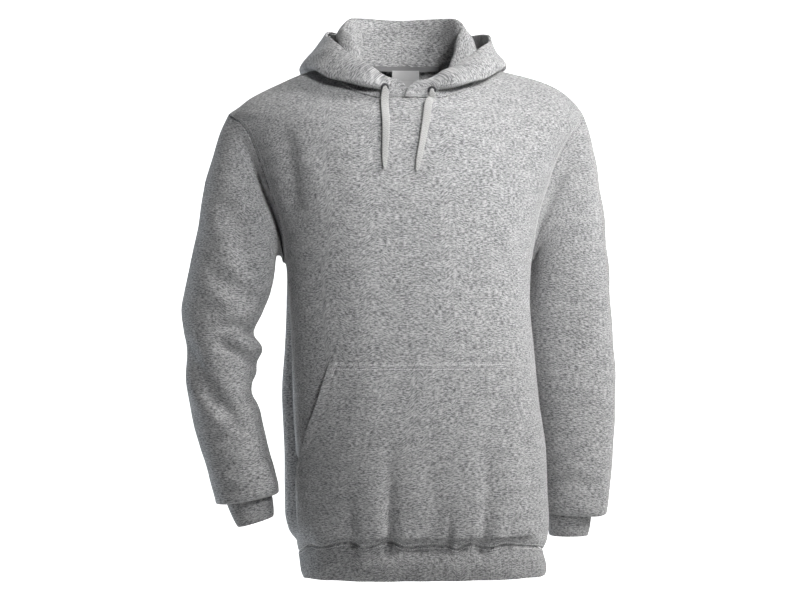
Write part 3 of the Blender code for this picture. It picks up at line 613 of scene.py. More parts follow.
def straightTroughs(folds, x, z):
    # depth of the long soft troughs that the solids have too
    depth = 0.0
    for x0, z0, x1, z1, deep, width in zip(*(folds[name] for name in folds)):
        along, aside = besideLine(x0, z0, x1, z1, x, z)
        fade = np.exp(-np.maximum(np.abs(along - 0.5) * 2 - 0.55, 0) ** 2 / 0.12)
        depth = depth + deep * mm * fade * bell(aside, 0, width * mm)
    return depth


def gathered(rows, x, above):
    # depth of the gathers at a distance above the rib seam
    depth = 0.0
    for middle, deep, width, length in zip(*(rows[name] for name in rows)):
        depth = depth + deep * mm * bell(x, middle * mm, width * mm) * bell(above, 0, length * mm)
    return depth


def hemHeight(panel, share):
    # height of the rib seam: lower at the sides, rising and falling with the gathers
    level = body["hemSeam"] - body["hemSideDrop"] * np.sin(np.abs(share) * np.pi / 2) ** 6
    x = np.sin(share * np.pi / 2) * body["hemHalf"] + body["hemMiddle"]
    if panel == "front":
        wave = fromTable(body["hemWave"], "x", "rise", x)
    else:
        wave = ripples(x, 0, 60 * mm, 2.2 * mm, 5)
    return level + wave * (1 - np.abs(share) ** 6)


def levelSection(z):
    # the body's level section: middle, half width, side seam depth and squareness
    rows = body["sections"]
    left, right = fromTable(rows, "height", "left", z), fromTable(rows, "height", "right", z)
    return ((left + right) / 2, (right - left) / 2, fromTable(rows, "height", "seam", z),
            smooth(rows["height"] * mm, rows["power"], z))


def reach(angle, power):
    # distance to a superellipse of size 1 at an angle from its middle
    return (np.abs(np.sin(angle)) ** power + np.abs(np.cos(angle)) ** power) ** (-1 / power)


def mouthTroughs(x, z):
    # depth of the troughs in the front: a bell across, beside each slanted side of the pocket
    trough, depth = body["mouthTrough"], 0.0
    half = fromTable(body["pocketSides"], "height", "halfWidth", z)
    for side, deep in ((-1, trough["left"]), (1, trough["right"])):
        beside = side * (x - body["pocketMiddle"]) - half + trough["inside"]
        depth = depth + deep * bell(beside, 0, trough["width"]) * window(z, *trough["ends"])
    return depth


def sideFolds(turn, z):
    # how far the back's fold stands out less how far the groove beside it sinks
    (bulgeAt, bulgeWide), (grooveAt, grooveWide) = body["bulgeTurn"], body["grooveTurn"]
    bulge = fromTable(body["sideFold"], "height", "bulge", z) * bell(turn, bulgeAt, bulgeWide)
    groove = fromTable(body["sideFold"], "height", "groove", z) * bell(turn, grooveAt, grooveWide)
    return bulge - groove


def bodyPoint(panel, share, z, mouths=True):
    # The body's outer face: a superellipse at each height, share running from -1 at the left edge
    # to 1 at the right, moved in by its gathers, troughs and creases, and rolled in to the
    # shoulder seam at the top.
    middle, half, seam, power = levelSection(z)
    rows = body["sections"]
    depth = fromTable(rows, "height", panel, z) - seam
    cut = np.radians(smooth(rows["height"] * mm, rows[panel + "Cut"], z))
    angle = share * cut
    across, along = np.sin(angle) * reach(angle, power), np.cos(angle) * reach(angle, power)
    full = half / (np.sin(cut) * reach(cut, power))
    x, y = middle + full * across, seam + depth * along
    outX = np.sign(across) * np.abs(across) ** (power - 1) / full
    outY = np.abs(along) ** (power - 1) / depth
    size = np.hypot(outX, outY)
    outX, outY = outX / size, outY / size
    above = z - hemHeight(panel, share)
    pucker = ripples(x + share * 30 * mm, 0 * z, body["puckerSize"], body["puckers"], panelSeeds[panel] + 5)
    inward = (gathered(body["gathers"][panel], x, above) + straightTroughs(body["folds"][panel], x, z)
              + creases(body["creases"][panel], x, z)
              + ripples(x, z * 0.6, body["unevenSize"], body["unevenness"], panelSeeds[panel])
              + pucker * np.exp(-np.abs(above) / body["puckerRise"])) * (1 - np.abs(share) ** 8)
    pinched = 1 - np.abs(share) ** 4 * np.where(share < 0, 0.85, 0.5)
    inward = (inward + body["hemPinch"] * np.exp(-above / body["hemPinchHeight"]) * pinched
              + body["blouse"] * np.exp(-above / body["blouseHeight"]) * (1 - np.abs(share) ** 6))
    if panel == "front" and mouths:
        inward = inward + mouthTroughs(x, z)
    if panel == "back":
        inward = inward - (share < 0) * sideFolds(np.degrees(np.abs(angle)), z)
    x, y = x - outX * inward, y - outY * inward
    below = limited((shoulderHeight(x) - z) / body["shoulderRoll"])
    roll = (1 - (1 - below) ** body["rollPower"]) ** (1 / body["rollPower"])
    seamY = body["shoulderSeamY"]
    return np.stack([x, seamY + (y - seamY) * roll, z + 0 * x], -1)


def shareOf(panel, x, z):
    # the share at which a panel's base form passes through x at this height
    middle, half, _, power = levelSection(z)
    cut = np.radians(smooth(body["sections"]["height"] * mm, body["sections"][panel + "Cut"], z))
    full = half / (np.sin(cut) * reach(cut, power))
    across = np.clip((x - middle) / full, -0.9999, 0.9999)
    along = (1 - np.abs(across) ** power) ** (1 / power)
    return np.arctan2(across, along) / cut


def finer(values, count):
    # the same run of values with each step cut into equal parts
    at = np.linspace(0, len(values) - 1, (len(values) - 1) * count + 1)
    return np.interp(at, np.arange(len(values)), values)


def neckX(angle):
    # how far to the side the neck seam lies at an angle
    bend = np.radians(angle)
    return body["neckHalfWidth"] * np.sin(bend) + body["throatShift"] * limited(np.cos(bend)) ** 2


def neckPoint(angle):
    # the neck seam: angle in degrees from the middle of the throat, negative to the left
    x, z = neckX(angle), neckHeight(angle)
    front = bodyPoint("front", shareOf("front", x, z), z)
    back = bodyPoint("back", shareOf("back", x, z), z)
    return np.where((np.abs(angle) <= 90)[..., None], front, back)


def neckAngles(panel):
    # the angles of a panel's columns where they meet the neck seam
    if panel == "front":
        turns = neckTurns[neckTurns <= 90]
        return finer(np.concatenate([-turns[:0:-1], turns]), fineness["columns"])
    turns = neckTurns[neckTurns >= 90]
    return finer(np.concatenate([-turns[:-1], turns[::-1]]), fineness["columns"])


def hemShares(panel):
    # a panel's columns at the rib seam, as many as at its top
    return np.linspace(-1, 1, len(neckAngles(panel)) + 2 * fineness["shoulderColumns"] * fineness["columns"])


def drawnIn(grid, by):
    # the grid with its outer edges drawn in, so that rounded edges of neighbours stay clear
    grid = grid.copy()
    for lines in (grid, grid.transpose(1, 0, 2)):
        for edge, inside in ((0, 1), (-1, -2)):
            lines[edge] += unit(lines[inside] - lines[edge]) * by
    return grid


def panelGrid(panel):
    # The front or the back: rows rise from the rib seam to the armholes, the shoulder seams and
    # the neck; columns stand upright and fan in near the top to meet the neck squarely.
    angle = neckAngles(panel)
    side = fineness["shoulderColumns"] * fineness["columns"]
    neckZ = neckHeight(angle)
    neckShare = shareOf(panel, neckX(angle), neckZ)
    topShare = np.concatenate([np.linspace(-1, neckShare[0], side + 1)[:-1], neckShare,
                               np.linspace(neckShare[-1], 1, side + 1)[1:]])
    lowShare = hemShares(panel)
    top = np.full(topShare.shape, -20 * mm)
    for _ in range(6):
        top = shoulderHeight(bodyPoint(panel, topShare, top)[:, 0])
    top[side:-side] = neckZ
    bottom = hemHeight(panel, lowShare)
    t = np.linspace(0, 1, fineness["rows"])
    rise = (0.55 * t + 0.45 * (0.5 - 0.5 * np.cos(np.pi * t)))[:, None]
    rise[-2] = 0.998
    share = lowShare + (topShare - lowShare) * rise ** fineness["fan"]
    return bodyPoint(panel, share, bottom + (top - bottom) * rise)


edgeDraw = body["wall"] / 2 + body["seamGap"] / 2
frontGrid = drawnIn(panelGrid("front"), edgeDraw)
backGrid = drawnIn(panelGrid("back"), edgeDraw)[:, ::-1]
frontPanel = clothWall("frontPanel", frontGrid, fleecePaint)
backPanel = clothWall("backPanel", backGrid, fleecePaint)
register(frontPanel, "fleece", "front")
register(backPanel, "fleece", "back")
print("body panels: front", round(clothArea(frontGrid), 4), "back", round(clothArea(backGrid), 4))

# Sleeves and cuffs.
sleeves = {
    "around": 150, "steps": 7, "unevenness": 1.0 * mm, "unevenSize": 90 * mm, "seamDraw": 1.3 * mm,
    # how much of the armhole's own ring is in the first rings
    "armholeShare": np.array([1.0, 0.5, 0.2, 0.05, 0.0]),
    # where the fold along the armhole runs, and how the dark gap beside the body fades: its upper
    # and lower heights, each with a distance
    "grooveEnds": (-95 * mm, 110 * mm, -292 * mm, 15 * mm), "gapFades": (45 * mm, 60 * mm),
    "left": {
        "side": -1, "groove": {"deep": 26 * mm, "at": 0.42, "width": 0.24}, "lean": 9 * mm,
        "shadowGap": {"x": -190 * mm, "width": 9 * mm, "deep": 8 * mm, "top": -200 * mm, "bottom": -300 * mm},
        # outer and inner line seen from the front, middle of the tube front to back, half its depth
        "rows": table(
            "outerX outerZ innerX innerZ middle halfDepth",
            (-248, -73, -167, -284, 12, 62), (-260, -101, -171, -276, 12, 50),
            (-269, -135, -176, -271, 12, 52), (-278, -168, -179, -271, 12, 54),
            (-286, -210, -181, -278, 12, 56), (-294, -252, -182, -289, 12, 57),
            (-301, -288, -184, -305, 12, 58), (-308, -322, -188, -324, 12, 57),
            (-312, -348, -199, -351, 11, 55), (-309, -377, -211, -379, 9, 52),
            (-306, -404, -203, -402, 5, 52), (-304, -433, -206, -431, 1, 51),
            (-301, -461, -214, -454, -3, 49), (-297, -491, -202, -486, -7, 48),
            (-287, -531, -194, -526, -12, 48), (-275, -571, -183, -562, -16, 47),
            (-266, -606, -177, -589, -20, 46), (-264, -614, -177, -597, -20, 44),
            (-257, -615, -182, -601, -20, 38), (-249, -612, -188, -602, -20, 33)),
        "cuffEnd": {"outer": (-236, -646), "inner": (-183, -630), "middle": -22, "halfDepth": 30},
        "creases": {
            "front": creaseTable(
                (-196, -430, -266, -392, 4, 9.0, 9, 1.0),
                (-308, -380, -220, -508, 14, 8.0, 11, 0.5),
                (-280, -288, -192, -334, 6, 6.0, 12, 0.6),
                (-212, -381, -262, -370, 3, 4.5, 8, 0.5),
                (-204, -462, -262, -496, 5, 6.0, 9, 0.8),
                (-290, -528, -196, -500, 6, 4.5, 10, 0.6),
                (-268, -566, -184, -548, 5, 4.0, 9, 0.6),
                (-282, -170, -208, -300, -12, 4.5, 15, 0.5),
                (-270, -598, -190, -580, 3, 3.0, 7, 0.6)),
            "back": creaseTable(
                (-304, -395, -216, -372, -8, 4.0, 13, 0.6),
                (-300, -440, -214, -470, 8, 3.4, 14, 0.6),
                (-262, -150, -206, -262, -10, 3.0, 16, 0.5),
                (-296, -300, -200, -330, 8, 2.4, 15, 0.5),
                (-282, -540, -196, -520, 8, 2.6, 13, 0.5),
                (-262, -590, -196, -575, 3, 1.8, 8, 0.6))},
    },
    "right": {
        "side": 1, "groove": {"deep": 5 * mm, "at": 0.7, "width": 0.4}, "lean": 0.0,
        "shadowGap": {"x": 184 * mm, "width": 11 * mm, "deep": 34 * mm, "top": -212 * mm, "bottom": -350 * mm},
        "rows": table(
            "outerX outerZ innerX innerZ middle halfDepth",
            (252, -72, 175, -284, 12, 62), (260, -92, 180, -276, 9, 50), (268, -120, 185, -273, 14, 52),
            (275, -148, 185, -275, 21, 54), (281, -179, 182, -281, 27, 56), (288, -228, 178, -298, 34, 57),
            (294, -276, 176, -320, 39, 58), (299, -333, 176, -352, 43, 56), (303, -405, 179, -411, 46, 53),
            (305, -476, 190, -478, 47, 51), (303, -534, 198, -534, 48, 49), (300, -591, 202, -588, 48, 47),
            (296, -630, 203, -624, 48, 46), (294, -638, 204, -632, 48, 44), (286, -641, 208, -637, 48, 38),
            (270, -637, 212, -635, 48, 33)),
        "cuffEnd": {"outer": (268, -668), "inner": (210, -668), "middle": 48, "halfDepth": 31},
        "creases": {
            "front": creaseTable(
                (262, -110, 200, -262, 14, 3.5, 18, 0.4),
                (292, -392, 190, -440, -8, 2.6, 16, 0.5),
                (296, -470, 206, -530, 8, 2.8, 16, 0.5),
                (290, -608, 210, -584, 4, 2.6, 10, 0.6),
                (282, -240, 200, -340, 10, 2.4, 20, 0.4)),
            "back": creaseTable(
                (262, -150, 206, -262, 10, 3.0, 16, 0.5),
                (292, -300, 200, -340, -8, 2.4, 16, 0.5),
                (296, -420, 200, -390, 8, 3.4, 14, 0.6),
                (292, -455, 206, -495, -8, 2.8, 14, 0.6),
                (284, -560, 214, -590, 6, 2.0, 12, 0.5))},
    },
}


def armholeRing(side, count):
    # the armhole's ring from the shoulder point down the front and up the back, evenly spaced
    end = body["sections"]["left"][-1] if side < 0 else body["sections"]["right"][-1]
    heights = np.linspace(shoulderHeight(np.array(end * mm)), body["armpit"], 200)
    ring = []
    for panel in ("front", "back"):
        edge = bodyPoint(panel, side + 0 * heights, heights)
        run = runOf(edge)
        ring.append(readAt(edge, run, np.linspace(0, run[-1], count // 2 + 1)))
    return np.concatenate([ring[0], ring[1][-2:0:-1]])


def tubeRings(outer, inner, middle, halfDepth, count, power=2.2):
    # rings through outer and inner points seen from the front, deep front to back
    way = np.arange(count) * 2 * np.pi / count
    wide, deep = np.cos(way) * reach(way, power), np.sin(way) * reach(way, power)
    centre, half = (outer + inner) / 2, (outer - inner) / 2
    x = centre[:, :1] + half[:, :1] * wide
    z = centre[:, 1:] + half[:, 1:] * wide
    return np.stack([x, middle[:, None] - halfDepth[:, None] * deep, z], -1)


def sleeveGrid(spec):
    # The sleeve: rings carried along its two outlines, growing out of the armhole's own ring, then
    # moved in by its creases, the front and the back each having their own.
    rows, side, count = spec["rows"], spec["side"], sleeves["around"]
    stations = np.arange(len(rows["middle"]), dtype=float)
    at = finer(stations, sleeves["steps"])
    read = {name: smooth(stations, rows[name] * mm, at) for name in rows}
    outer = np.stack([read["outerX"], read["outerZ"]], -1)
    inner = np.stack([read["innerX"], read["innerZ"]], -1)
    rings = tubeRings(outer, inner, read["middle"], read["halfDepth"], count)
    share = smooth(np.arange(5.0), sleeves["armholeShare"], np.minimum(at, 4))
    rings = rings + share[:, None, None] * (armholeRing(side, count) - rings[0])
    rings[0] += unit(rings[1] - rings[0]) * sleeves["seamDraw"]
    if side < 0:
        rings = rings[:, ::-1]
    rings = np.roll(rings, count // 2, axis=1)
    away = normalsOf(rings, True)
    x, z = rings[..., 0], rings[..., 2]
    ends = limited(at / 3) * limited((at[-1] - at) / 3)
    frontShare = limited(0.5 - away[..., 1] * 1.4)
    depth = creases(spec["creases"]["front"], x, z) * frontShare
    depth = depth + creases(spec["creases"]["back"], x, z) * (1 - frontShare)
    depth = depth + ripples(z, rings[..., 1] + x, sleeves["unevenSize"], sleeves["unevenness"], 31 + side)
    # the front half is also pushed back, in a fold along the armhole, in the gap beside the body and
    # by the sleeve's lean
    fold = spec["groove"]
    groove = fold["deep"] * bell(at[:, None], fold["at"], fold["width"]) * frontShare
    groove = groove * window(z, *sleeves["grooveEnds"])
    gap, (topFade, bottomFade) = spec["shadowGap"], sleeves["gapFades"]
    inside = 1 / (1 + np.exp((np.abs(x) - abs(gap["x"])) / (gap["width"] / 3)))
    height = window(z, gap["top"], topFade, gap["bottom"], bottomFade)
    back = gap["deep"] * inside * frontShare * height * limited(at / 2.5)[:, None]
    outward = (np.abs(x) - 240 * mm) / (60 * mm)
    back = back + spec["lean"] * outward * frontShare * ends[:, None]
    rings = rings - away * (depth * ends[:, None])[..., None]
    return rings + np.stack([0 * x, back + groove, 0 * x], -1)


ribs = {"pitch": 3.2 * mm, "height": 0.32 * mm, "columnsEach": 5, "wall": 2.4 * mm, "seamDraw": 0.9 * mm}
cuffForm = table("drop inset", (0, 0), (6, -1.0), (18, -0.6), (30, 0.6), (35, 1.6))


def ribbed(count):
    # height of the ribs at each column: rounded ridges with a narrow valley between them
    way = np.arange(count) % ribs["columnsEach"] / ribs["columnsEach"]
    return ribs["height"] * (np.abs(np.sin(np.pi * way)) ** 0.7 - 1)


def cuffGrid(spec):
    # The rib cuff: rings from the sleeve's last ring down to the hand opening.
    rows, end = spec["rows"], spec["cuffEnd"]
    drop = np.concatenate([np.linspace(0, 33, 23), [34.2, 35]])
    inset = smooth(cuffForm["drop"], cuffForm["inset"], drop)[:, None]
    share = (drop / cuffForm["drop"][-1])[:, None]
    start = {name: np.array([rows[name + "X"][-1], rows[name + "Z"][-1]]) for name in ("outer", "inner")}
    far = start["outer"] + (np.array(end["outer"]) - start["outer"]) * share
    near = start["inner"] + (np.array(end["inner"]) - start["inner"]) * share
    away = unit(far - near)
    middle = rows["middle"][-1] + (end["middle"] - rows["middle"][-1]) * share[:, 0]
    halfDepth = rows["halfDepth"][-1] + (end["halfDepth"] - rows["halfDepth"][-1]) * share[:, 0]
    count = 66 * ribs["columnsEach"]
    rings = tubeRings((far - away * inset) * mm, (near + away * inset) * mm, middle * mm,
                      (halfDepth - inset[:, 0]) * mm, count)
    rings[0] += unit(rings[1] - rings[0]) * ribs["seamDraw"]
    if spec["side"] < 0:
        rings = rings[:, ::-1]
    lumps = ripples(np.arange(count) / count * 0.2, 0, 30 * mm, 0.5 * mm, 41) * (1 - share[:, 0][:, None])
    return rings + normalsOf(rings, True) * (ribbed(count) + lumps)[..., None]


laterCuts = []
for word in ("left", "right"):
    tube, rings = sleeveGrid(sleeves[word]), cuffGrid(sleeves[word])
    sleeve = clothWall(f"{word}Sleeve", tube, fleecePaint, around=True)
    register(sleeve, "fleece", f"sleeve_{word}")
    round(clothArea(tube, True), 3)
    cuff = clothWall(f"{word}Cuff", rings, ribPaint, 0.2 * mm, 0.2 * mm - ribs["wall"], around=True)
    register(cuff, "rib", f"cuff_{word}")
    laterCuts.append((cuff, (0.22, 0.045), "gathered", clothArea(rings, True)))
    print(f"{word} sleeve and cuff:", round(clothArea(tube, True), 4), round(clothArea(rings, True), 4))

# Hem band.
hemBandForm = {
    "bottom": -714 * mm, "sideDrop": 5 * mm,
    "follow": 0.6,  # share of the band's height over which it still follows the body's edge
    "rows": table("drop left right front back",
                  (0.0, -150, 193, -117, 108), (0.2, -148, 194, -119, 110), (0.5, -147, 196, -120, 111),
                  (0.8, -145, 197, -118, 109), (1.0, -142, 195, -114, 105)),
    "drops": (1.0, 0.985, 0.95, 0.9, 0.8, 0.7, 0.6, 0.5, 0.42, 0.34, 0.27, 0.2, 0.14, 0.09, 0.05, 0.02, 0.0),
    "ribCount": 300,
}


def hemRing(drop):
    # One ring of the band, from the left side seam across the front and back again: its own
    # superellipse lower down, the body's lower edge at the top.
    rows, ring = hemBandForm["rows"], []
    each = hemBandForm["ribCount"] * ribs["columnsEach"] // 2
    for panel in ("front", "back"):
        share = np.linspace(-1, 1, each + 1)[:-1]
        share = share if panel == "front" else -share
        left, right = (smooth(rows["drop"], rows[name] * mm, drop) for name in ("left", "right"))
        depth = smooth(rows["drop"], rows[panel] * mm, drop)
        angle = share * np.pi / 2
        power, seam = body["sections"]["power"][0], body["sections"]["seam"][0] * mm
        across = np.sin(angle) * reach(angle, power)
        own = np.stack([(left + right) / 2 + (right - left) / 2 * across,
                        seam + (depth - seam) * np.cos(angle) * reach(angle, power)], -1)
        edge = bodyPoint(panel, share, hemHeight(panel, share))
        follow = limited(1 - drop / hemBandForm["follow"]) ** 2
        top = hemHeight(panel, share) - body["seamGap"] / 2 - ribs["wall"] / 2
        level = own * (1 - follow) + edge[:, :2] * follow
        low = hemBandForm["bottom"] + 1 * mm - hemBandForm["sideDrop"] * np.abs(share) ** 3
        ring.append(np.concatenate([level, (top + (low - top) * drop)[:, None]], 1))
    return np.concatenate(ring)


hemGrid = np.array([hemRing(drop) for drop in hemBandForm["drops"]])
hemLumps = ripples(hemGrid[..., 0] * 1.2, hemGrid[..., 2] * 0.5 + hemGrid[..., 1], 70 * mm, 0.8 * mm, 51)
hemGrid = hemGrid + normalsOf(hemGrid, True) * (ribbed(hemGrid.shape[1]) + hemLumps)[..., None]
hemBand = clothWall("hemBand", hemGrid, ribPaint, 0.0, -ribs["wall"], around=True)
register(hemBand, "rib", "hem_band")
print("hem band:", round(clothArea(hemGrid, True), 4))

# Kangaroo pocket.
pocketForm = {
    "top": -418 * mm, "bottom": -652 * mm, "wall": 2.0 * mm, "columns": 130, "rows": 96,
    # how far it stands off the front: all over, at its two mouths, at its top and rib seams, along
    # its folded hems and where the stitches pull it in
    "lift": 1.5 * mm, "mouthLift": {"left": 5.5 * mm, "right": 3.6 * mm}, "topLift": 0.35 * mm,
    "seamLift": 1.8 * mm, "hem": 0.5 * mm, "hemWidth": 0.09, "stitchSink": 0.5 * mm, "stitchAt": 0.915,
    "mouthLow": -560 * mm,
}


def pocketPoint(across, z):
    # The pocket: the front's own face moved out, more at its two mouths and at the rib seam; across
    # runs from -1 to 1 between its slanted sides.
    form = pocketForm
    half = fromTable(body["pocketSides"], "height", "halfWidth", z)
    left, right = (shareOf("front", body["pocketMiddle"] + side * half, z) for side in (-1, 1))
    share = (left + right) / 2 + (right - left) / 2 * across
    base = bodyPoint("front", share, z, mouths=False)
    mouth = window(z, form["top"], 30 * mm, form["mouthLow"], 60 * mm)
    open = np.where(across < 0, form["mouthLift"]["left"], form["mouthLift"]["right"])
    lift = form["lift"] + (open - form["lift"]) * mouth * np.abs(across) ** 10
    lift = lift - (form["lift"] - form["topLift"]) * np.exp((z - form["top"]) / (5 * mm))
    lift = lift + form["seamLift"] * np.exp((form["bottom"] - z) / (20 * mm))
    folded = 1 / (1 + np.exp((1 - form["hemWidth"] - np.abs(across)) / 0.008))
    lift = lift + form["hem"] * folded + ripples(across * 0.15, z, 55 * mm, 0.35 * mm, 61)
    lift = lift - form["stitchSink"] * bell(np.abs(across), form["stitchAt"], 0.012)
    return base + normalsOf(base) * (lift + form["wall"])[..., None]


pocketRise = np.linspace(0, 1, pocketForm["rows"])[:, None] ** 1.2
pocketZ = pocketForm["bottom"] + (pocketForm["top"] - pocketForm["bottom"]) * pocketRise
pocketAcross = np.sin(np.linspace(-1, 1, pocketForm["columns"]) * np.pi / 2 * 0.8)[None, :]
pocketAcross = pocketAcross / math.sin(np.pi * 0.4)
pocketGrid = pocketPoint(pocketAcross + 0 * pocketZ, pocketZ + 0 * pocketAcross)
pocket = clothWall("kangarooPocket", pocketGrid, fleecePaint, 0.0, -1.9 * mm)
register(pocket, "fleece", "pocket")
print("pocket:", round(clothArea(pocketGrid), 4))

# Hood.
hood = {
    "wall": 1.8 * mm, "layerGap": 0.2 * mm, "seamLift": 0.9 * mm, "seamInset": 0.9 * mm,
    "seamGap": 0.9 * mm, "edgeRound": 0.4 * mm,
    # sections from the throat round to the middle of the back: out from the neck seam (D) and
    # height (Z) of the stand, crest, inner wall, trough, belly, outer wall and opening edge
    "sections": table(
        "angle standD standZ crestD crestZ innerD innerZ troughD troughZ bellyD bellyZ wallD wallZ edgeD edgeZ",
        (0, -0.7, -54.2, -0.5, -53, -0.3, -51.8, -0.1, -50.6, 0.1, -49.5, 0.3, -48.4, 0.6, -47),
        (7, -0.7, -53.8, -0.4, -51.4, -0.1, -49, 0.2, -46.5, 0.5, -43.6, 0.8, -39.5, 0.8, -34),
        (15, -0.6, -54, 0, -51.5, 0.8, -49, 1.8, -46.3, 2.6, -42.8, 2.8, -38.5, 1, -30),
        (30, -6, -47, -8.5, -39, -2, -36, 6, -42, 12, -37.5, 8.5, -26, -1, -15),
        (45, -20, -34, -21, -17, -8, -19, 5, -35, 14, -34, 9, -16, -4, -3),
        (60, -30, -14, -28, 5, -15, 0, 3, -23, 19, -28, 11, -5, -4, 8.5),
        (75, -34, 4, -30, 24, -17, 19, 2, -12, 28, -14, 15, 6, -1, 23),
        (90, -29, 20, -23, 42, -13, 35, 3, -6, 38, -8, 21, 14, 3, 34),
        (105, -28, 28, -20, 50, -11, 43, 8, -8, 45, -9, 23, 20, 6, 40),
        (120, -22, 32, -15, 59, -6, 51, 22, -20, 56, -15, 32, 22, 16, 44),
        (135, -13, 33, -6, 65, 6, 54, 46, -48, 77, -40, 57, 14, 30, 48),
        (150, -3, 33, 4, 66.5, 21, 50, 68, -106, 93, -88, 80, -8, 52, 46),
        (165, 1, 33, 10, 66.5, 31, 45, 84, -149, 105, -132, 98, -34, 76, 41),
        (180, 2, 32, 12, 66, 33, 44, 86, -151, 108, -135, 101, -38, 82, 38)),
    # what the right half adds to those
    "rightSide": table(
        "angle crestZ innerZ bellyZ wallD edgeD edgeZ",
        (0, 0, 0, 0, 0, 0, 0), (15, 0, 0, 0, 0, 0, -2.5), (30, 0, 0, 0, 0, 0, -4),
        (45, 1, 1, 1, 0, 0, -5.5), (60, 2, 2, 2, 1, 1, -5.5), (75, 4, 3, 3, 3, 7, -4),
        (90, 5, 4, 4, 4, 13, -3.5), (105, 4, 3, 4, 9, 18, 1), (120, 3, 2, 3, 14, 20, 1.5),
        (135, 1, 1, 1, 7, 22, 0), (150, 0, 0, 0, 2, 8, 0), (180, 0, 0, 0, 0, 0, 0)),
    "steps": {"stand": 2, "crest": 3, "inner": 3, "trough": 4, "belly": 3, "wall": 4, "edge": 3},
    "finer": 4, "turnsEach": 9, "unevenness": 1.0 * mm,
    # at the throat the right half laps over the left
    "lapTurn": 6.0, "lapAcross": {"left": 2.0 * mm, "right": -4.5 * mm},
    "lapForward": {"left": 0.4 * mm, "right": -4.2 * mm},
}


def hoodGrid(side, turns, finerSteps):
    # One half of the hood: at each angle round the neck a rounded curve through its section's named
    # points, from the neck seam over the crest, down into the bag and out to the opening edge.
    angle = side * np.maximum(turns, 1e-6)
    seam = neckPoint(angle)
    more = hood["rightSide"]
    out, up = [0 * turns - hood["seamInset"]], [seam[:, 2] + hood["seamLift"]]
    for name in hood["steps"]:
        for values, key in ((out, name + "D"), (up, name + "Z")):
            own = smooth(hood["sections"]["angle"], hood["sections"][key], turns)
            if side > 0 and key in more:
                own = own + smooth(more["angle"], more[key], turns)
            values.append(own * mm)
    out, up = np.array(out), np.array(up)
    legs = np.hypot(np.diff(out, axis=0), np.diff(up, axis=0)) ** 0.5
    steps = [count * finerSteps for count in hood["steps"].values()]
    out, up = through(legs, out, steps), through(legs, up, steps)
    x = seam[:, 0] + side * np.sin(np.radians(turns)) * out
    y = seam[:, 1] - np.cos(np.radians(turns)) * out
    return np.stack([x, y, up], -1)


def hoodHalf(word, side):
    # The half's grid, kept clear of the other at the centre seam, lapped over it at the throat and
    # made a little uneven away from its seams.
    turns = finer(neckTurns, hood["turnsEach"])
    grid = hoodGrid(side, turns, hood["finer"])
    grid[:, [0, -1], 0] += side * (hood["seamGap"] / 2 + hood["edgeRound"])
    lap = bell(turns, 0, hood["lapTurn"]) * np.linspace(1, 0.35, len(grid))[:, None]
    grid[..., 0] += hood["lapAcross"][word] * lap
    grid[..., 1] += hood["lapForward"][word] * lap
    if side < 0:
        grid = grid[:, ::-1]
    rows, columns = grid.shape[:2]
    rise, turnShare = np.meshgrid(np.linspace(0, 1, rows), np.linspace(0, 1, columns), indexing="ij")
    hush = limited(rise * 4) * limited(np.minimum(turnShare, 1 - turnShare) * 8)
    uneven = ripples(grid[..., 0], grid[..., 2] * 1.3 + grid[..., 1], 75 * mm, hood["unevenness"], 71 + side)
    return grid - normalsOf(grid) * (uneven * hush)[..., None]


for word, side in (("left", -1), ("right", 1)):
    grid = hoodHalf(word, side)
    gap, wall = hood["layerGap"] / 2, hood["wall"]
    shell = clothWall(f"{word}HoodShell", grid, hoodPaint, gap + wall, gap)
    lining = clothWall(f"{word}HoodLining", grid, liningPaint, -gap, -gap - wall)
    register(shell, "fleece", f"hood_shell_{word}")
    register(lining, "lining", f"hood_lining_{word}")
    laterCuts += [(piece, (0.37, 0.30), "folded", clothArea(grid)) for piece in (shell, lining)]
    print(f"{word} half of the hood:", round(clothArea(grid), 4))

# Neck tape and label.
neckTrim = {
    "tapeHeight": 7 * mm, "tapeWall": 0.9 * mm, "tapeInset": 6 * mm, "tapeEnds": (147, 213),
    "labelWidth": 41 * mm, "labelShift": 6.5 * mm, "labelHeight": 40 * mm, "labelWall": 0.8 * mm,
    "labelGap": 0.5 * mm, "labelLean": 1.5 * mm,
    # one soft crease across the label: its height, how far down and its half width
    "crease": (0.35 * mm, 17 * mm, 0.9 * mm),
}


def insideNeck(turns, inward):
    # points of the neck seam moved inwards; turns run past 180 to the left side
    seam = neckPoint(np.where(turns > 180, turns - 360, turns))
    way = np.radians(turns)
    return seam - np.stack([np.sin(way), -np.cos(way), 0 * turns], -1) * inward


tapeTurns = np.linspace(*neckTrim["tapeEnds"], 90)
tapeLine = insideNeck(tapeTurns, neckTrim["tapeInset"])
tapeLine[:, 2] += ripples(tapeTurns * mm, 0, 9 * mm, 0.5 * mm, 81)
tapeRise = np.linspace(-0.5, 0.5, 9)[:, None, None] * neckTrim["tapeHeight"]
tapeGrid = tapeLine[None] + tapeRise * np.array([0, 0, 1.0])
neckTape = clothWall("neckTape", tapeGrid, shadeDarkenedTapePaint, 0.0, -neckTrim["tapeWall"])
register(neckTape, "tape", "neck_tape")
laterCuts.append((neckTape, (0.15, 0.010), "hung", clothArea(tapeGrid)))

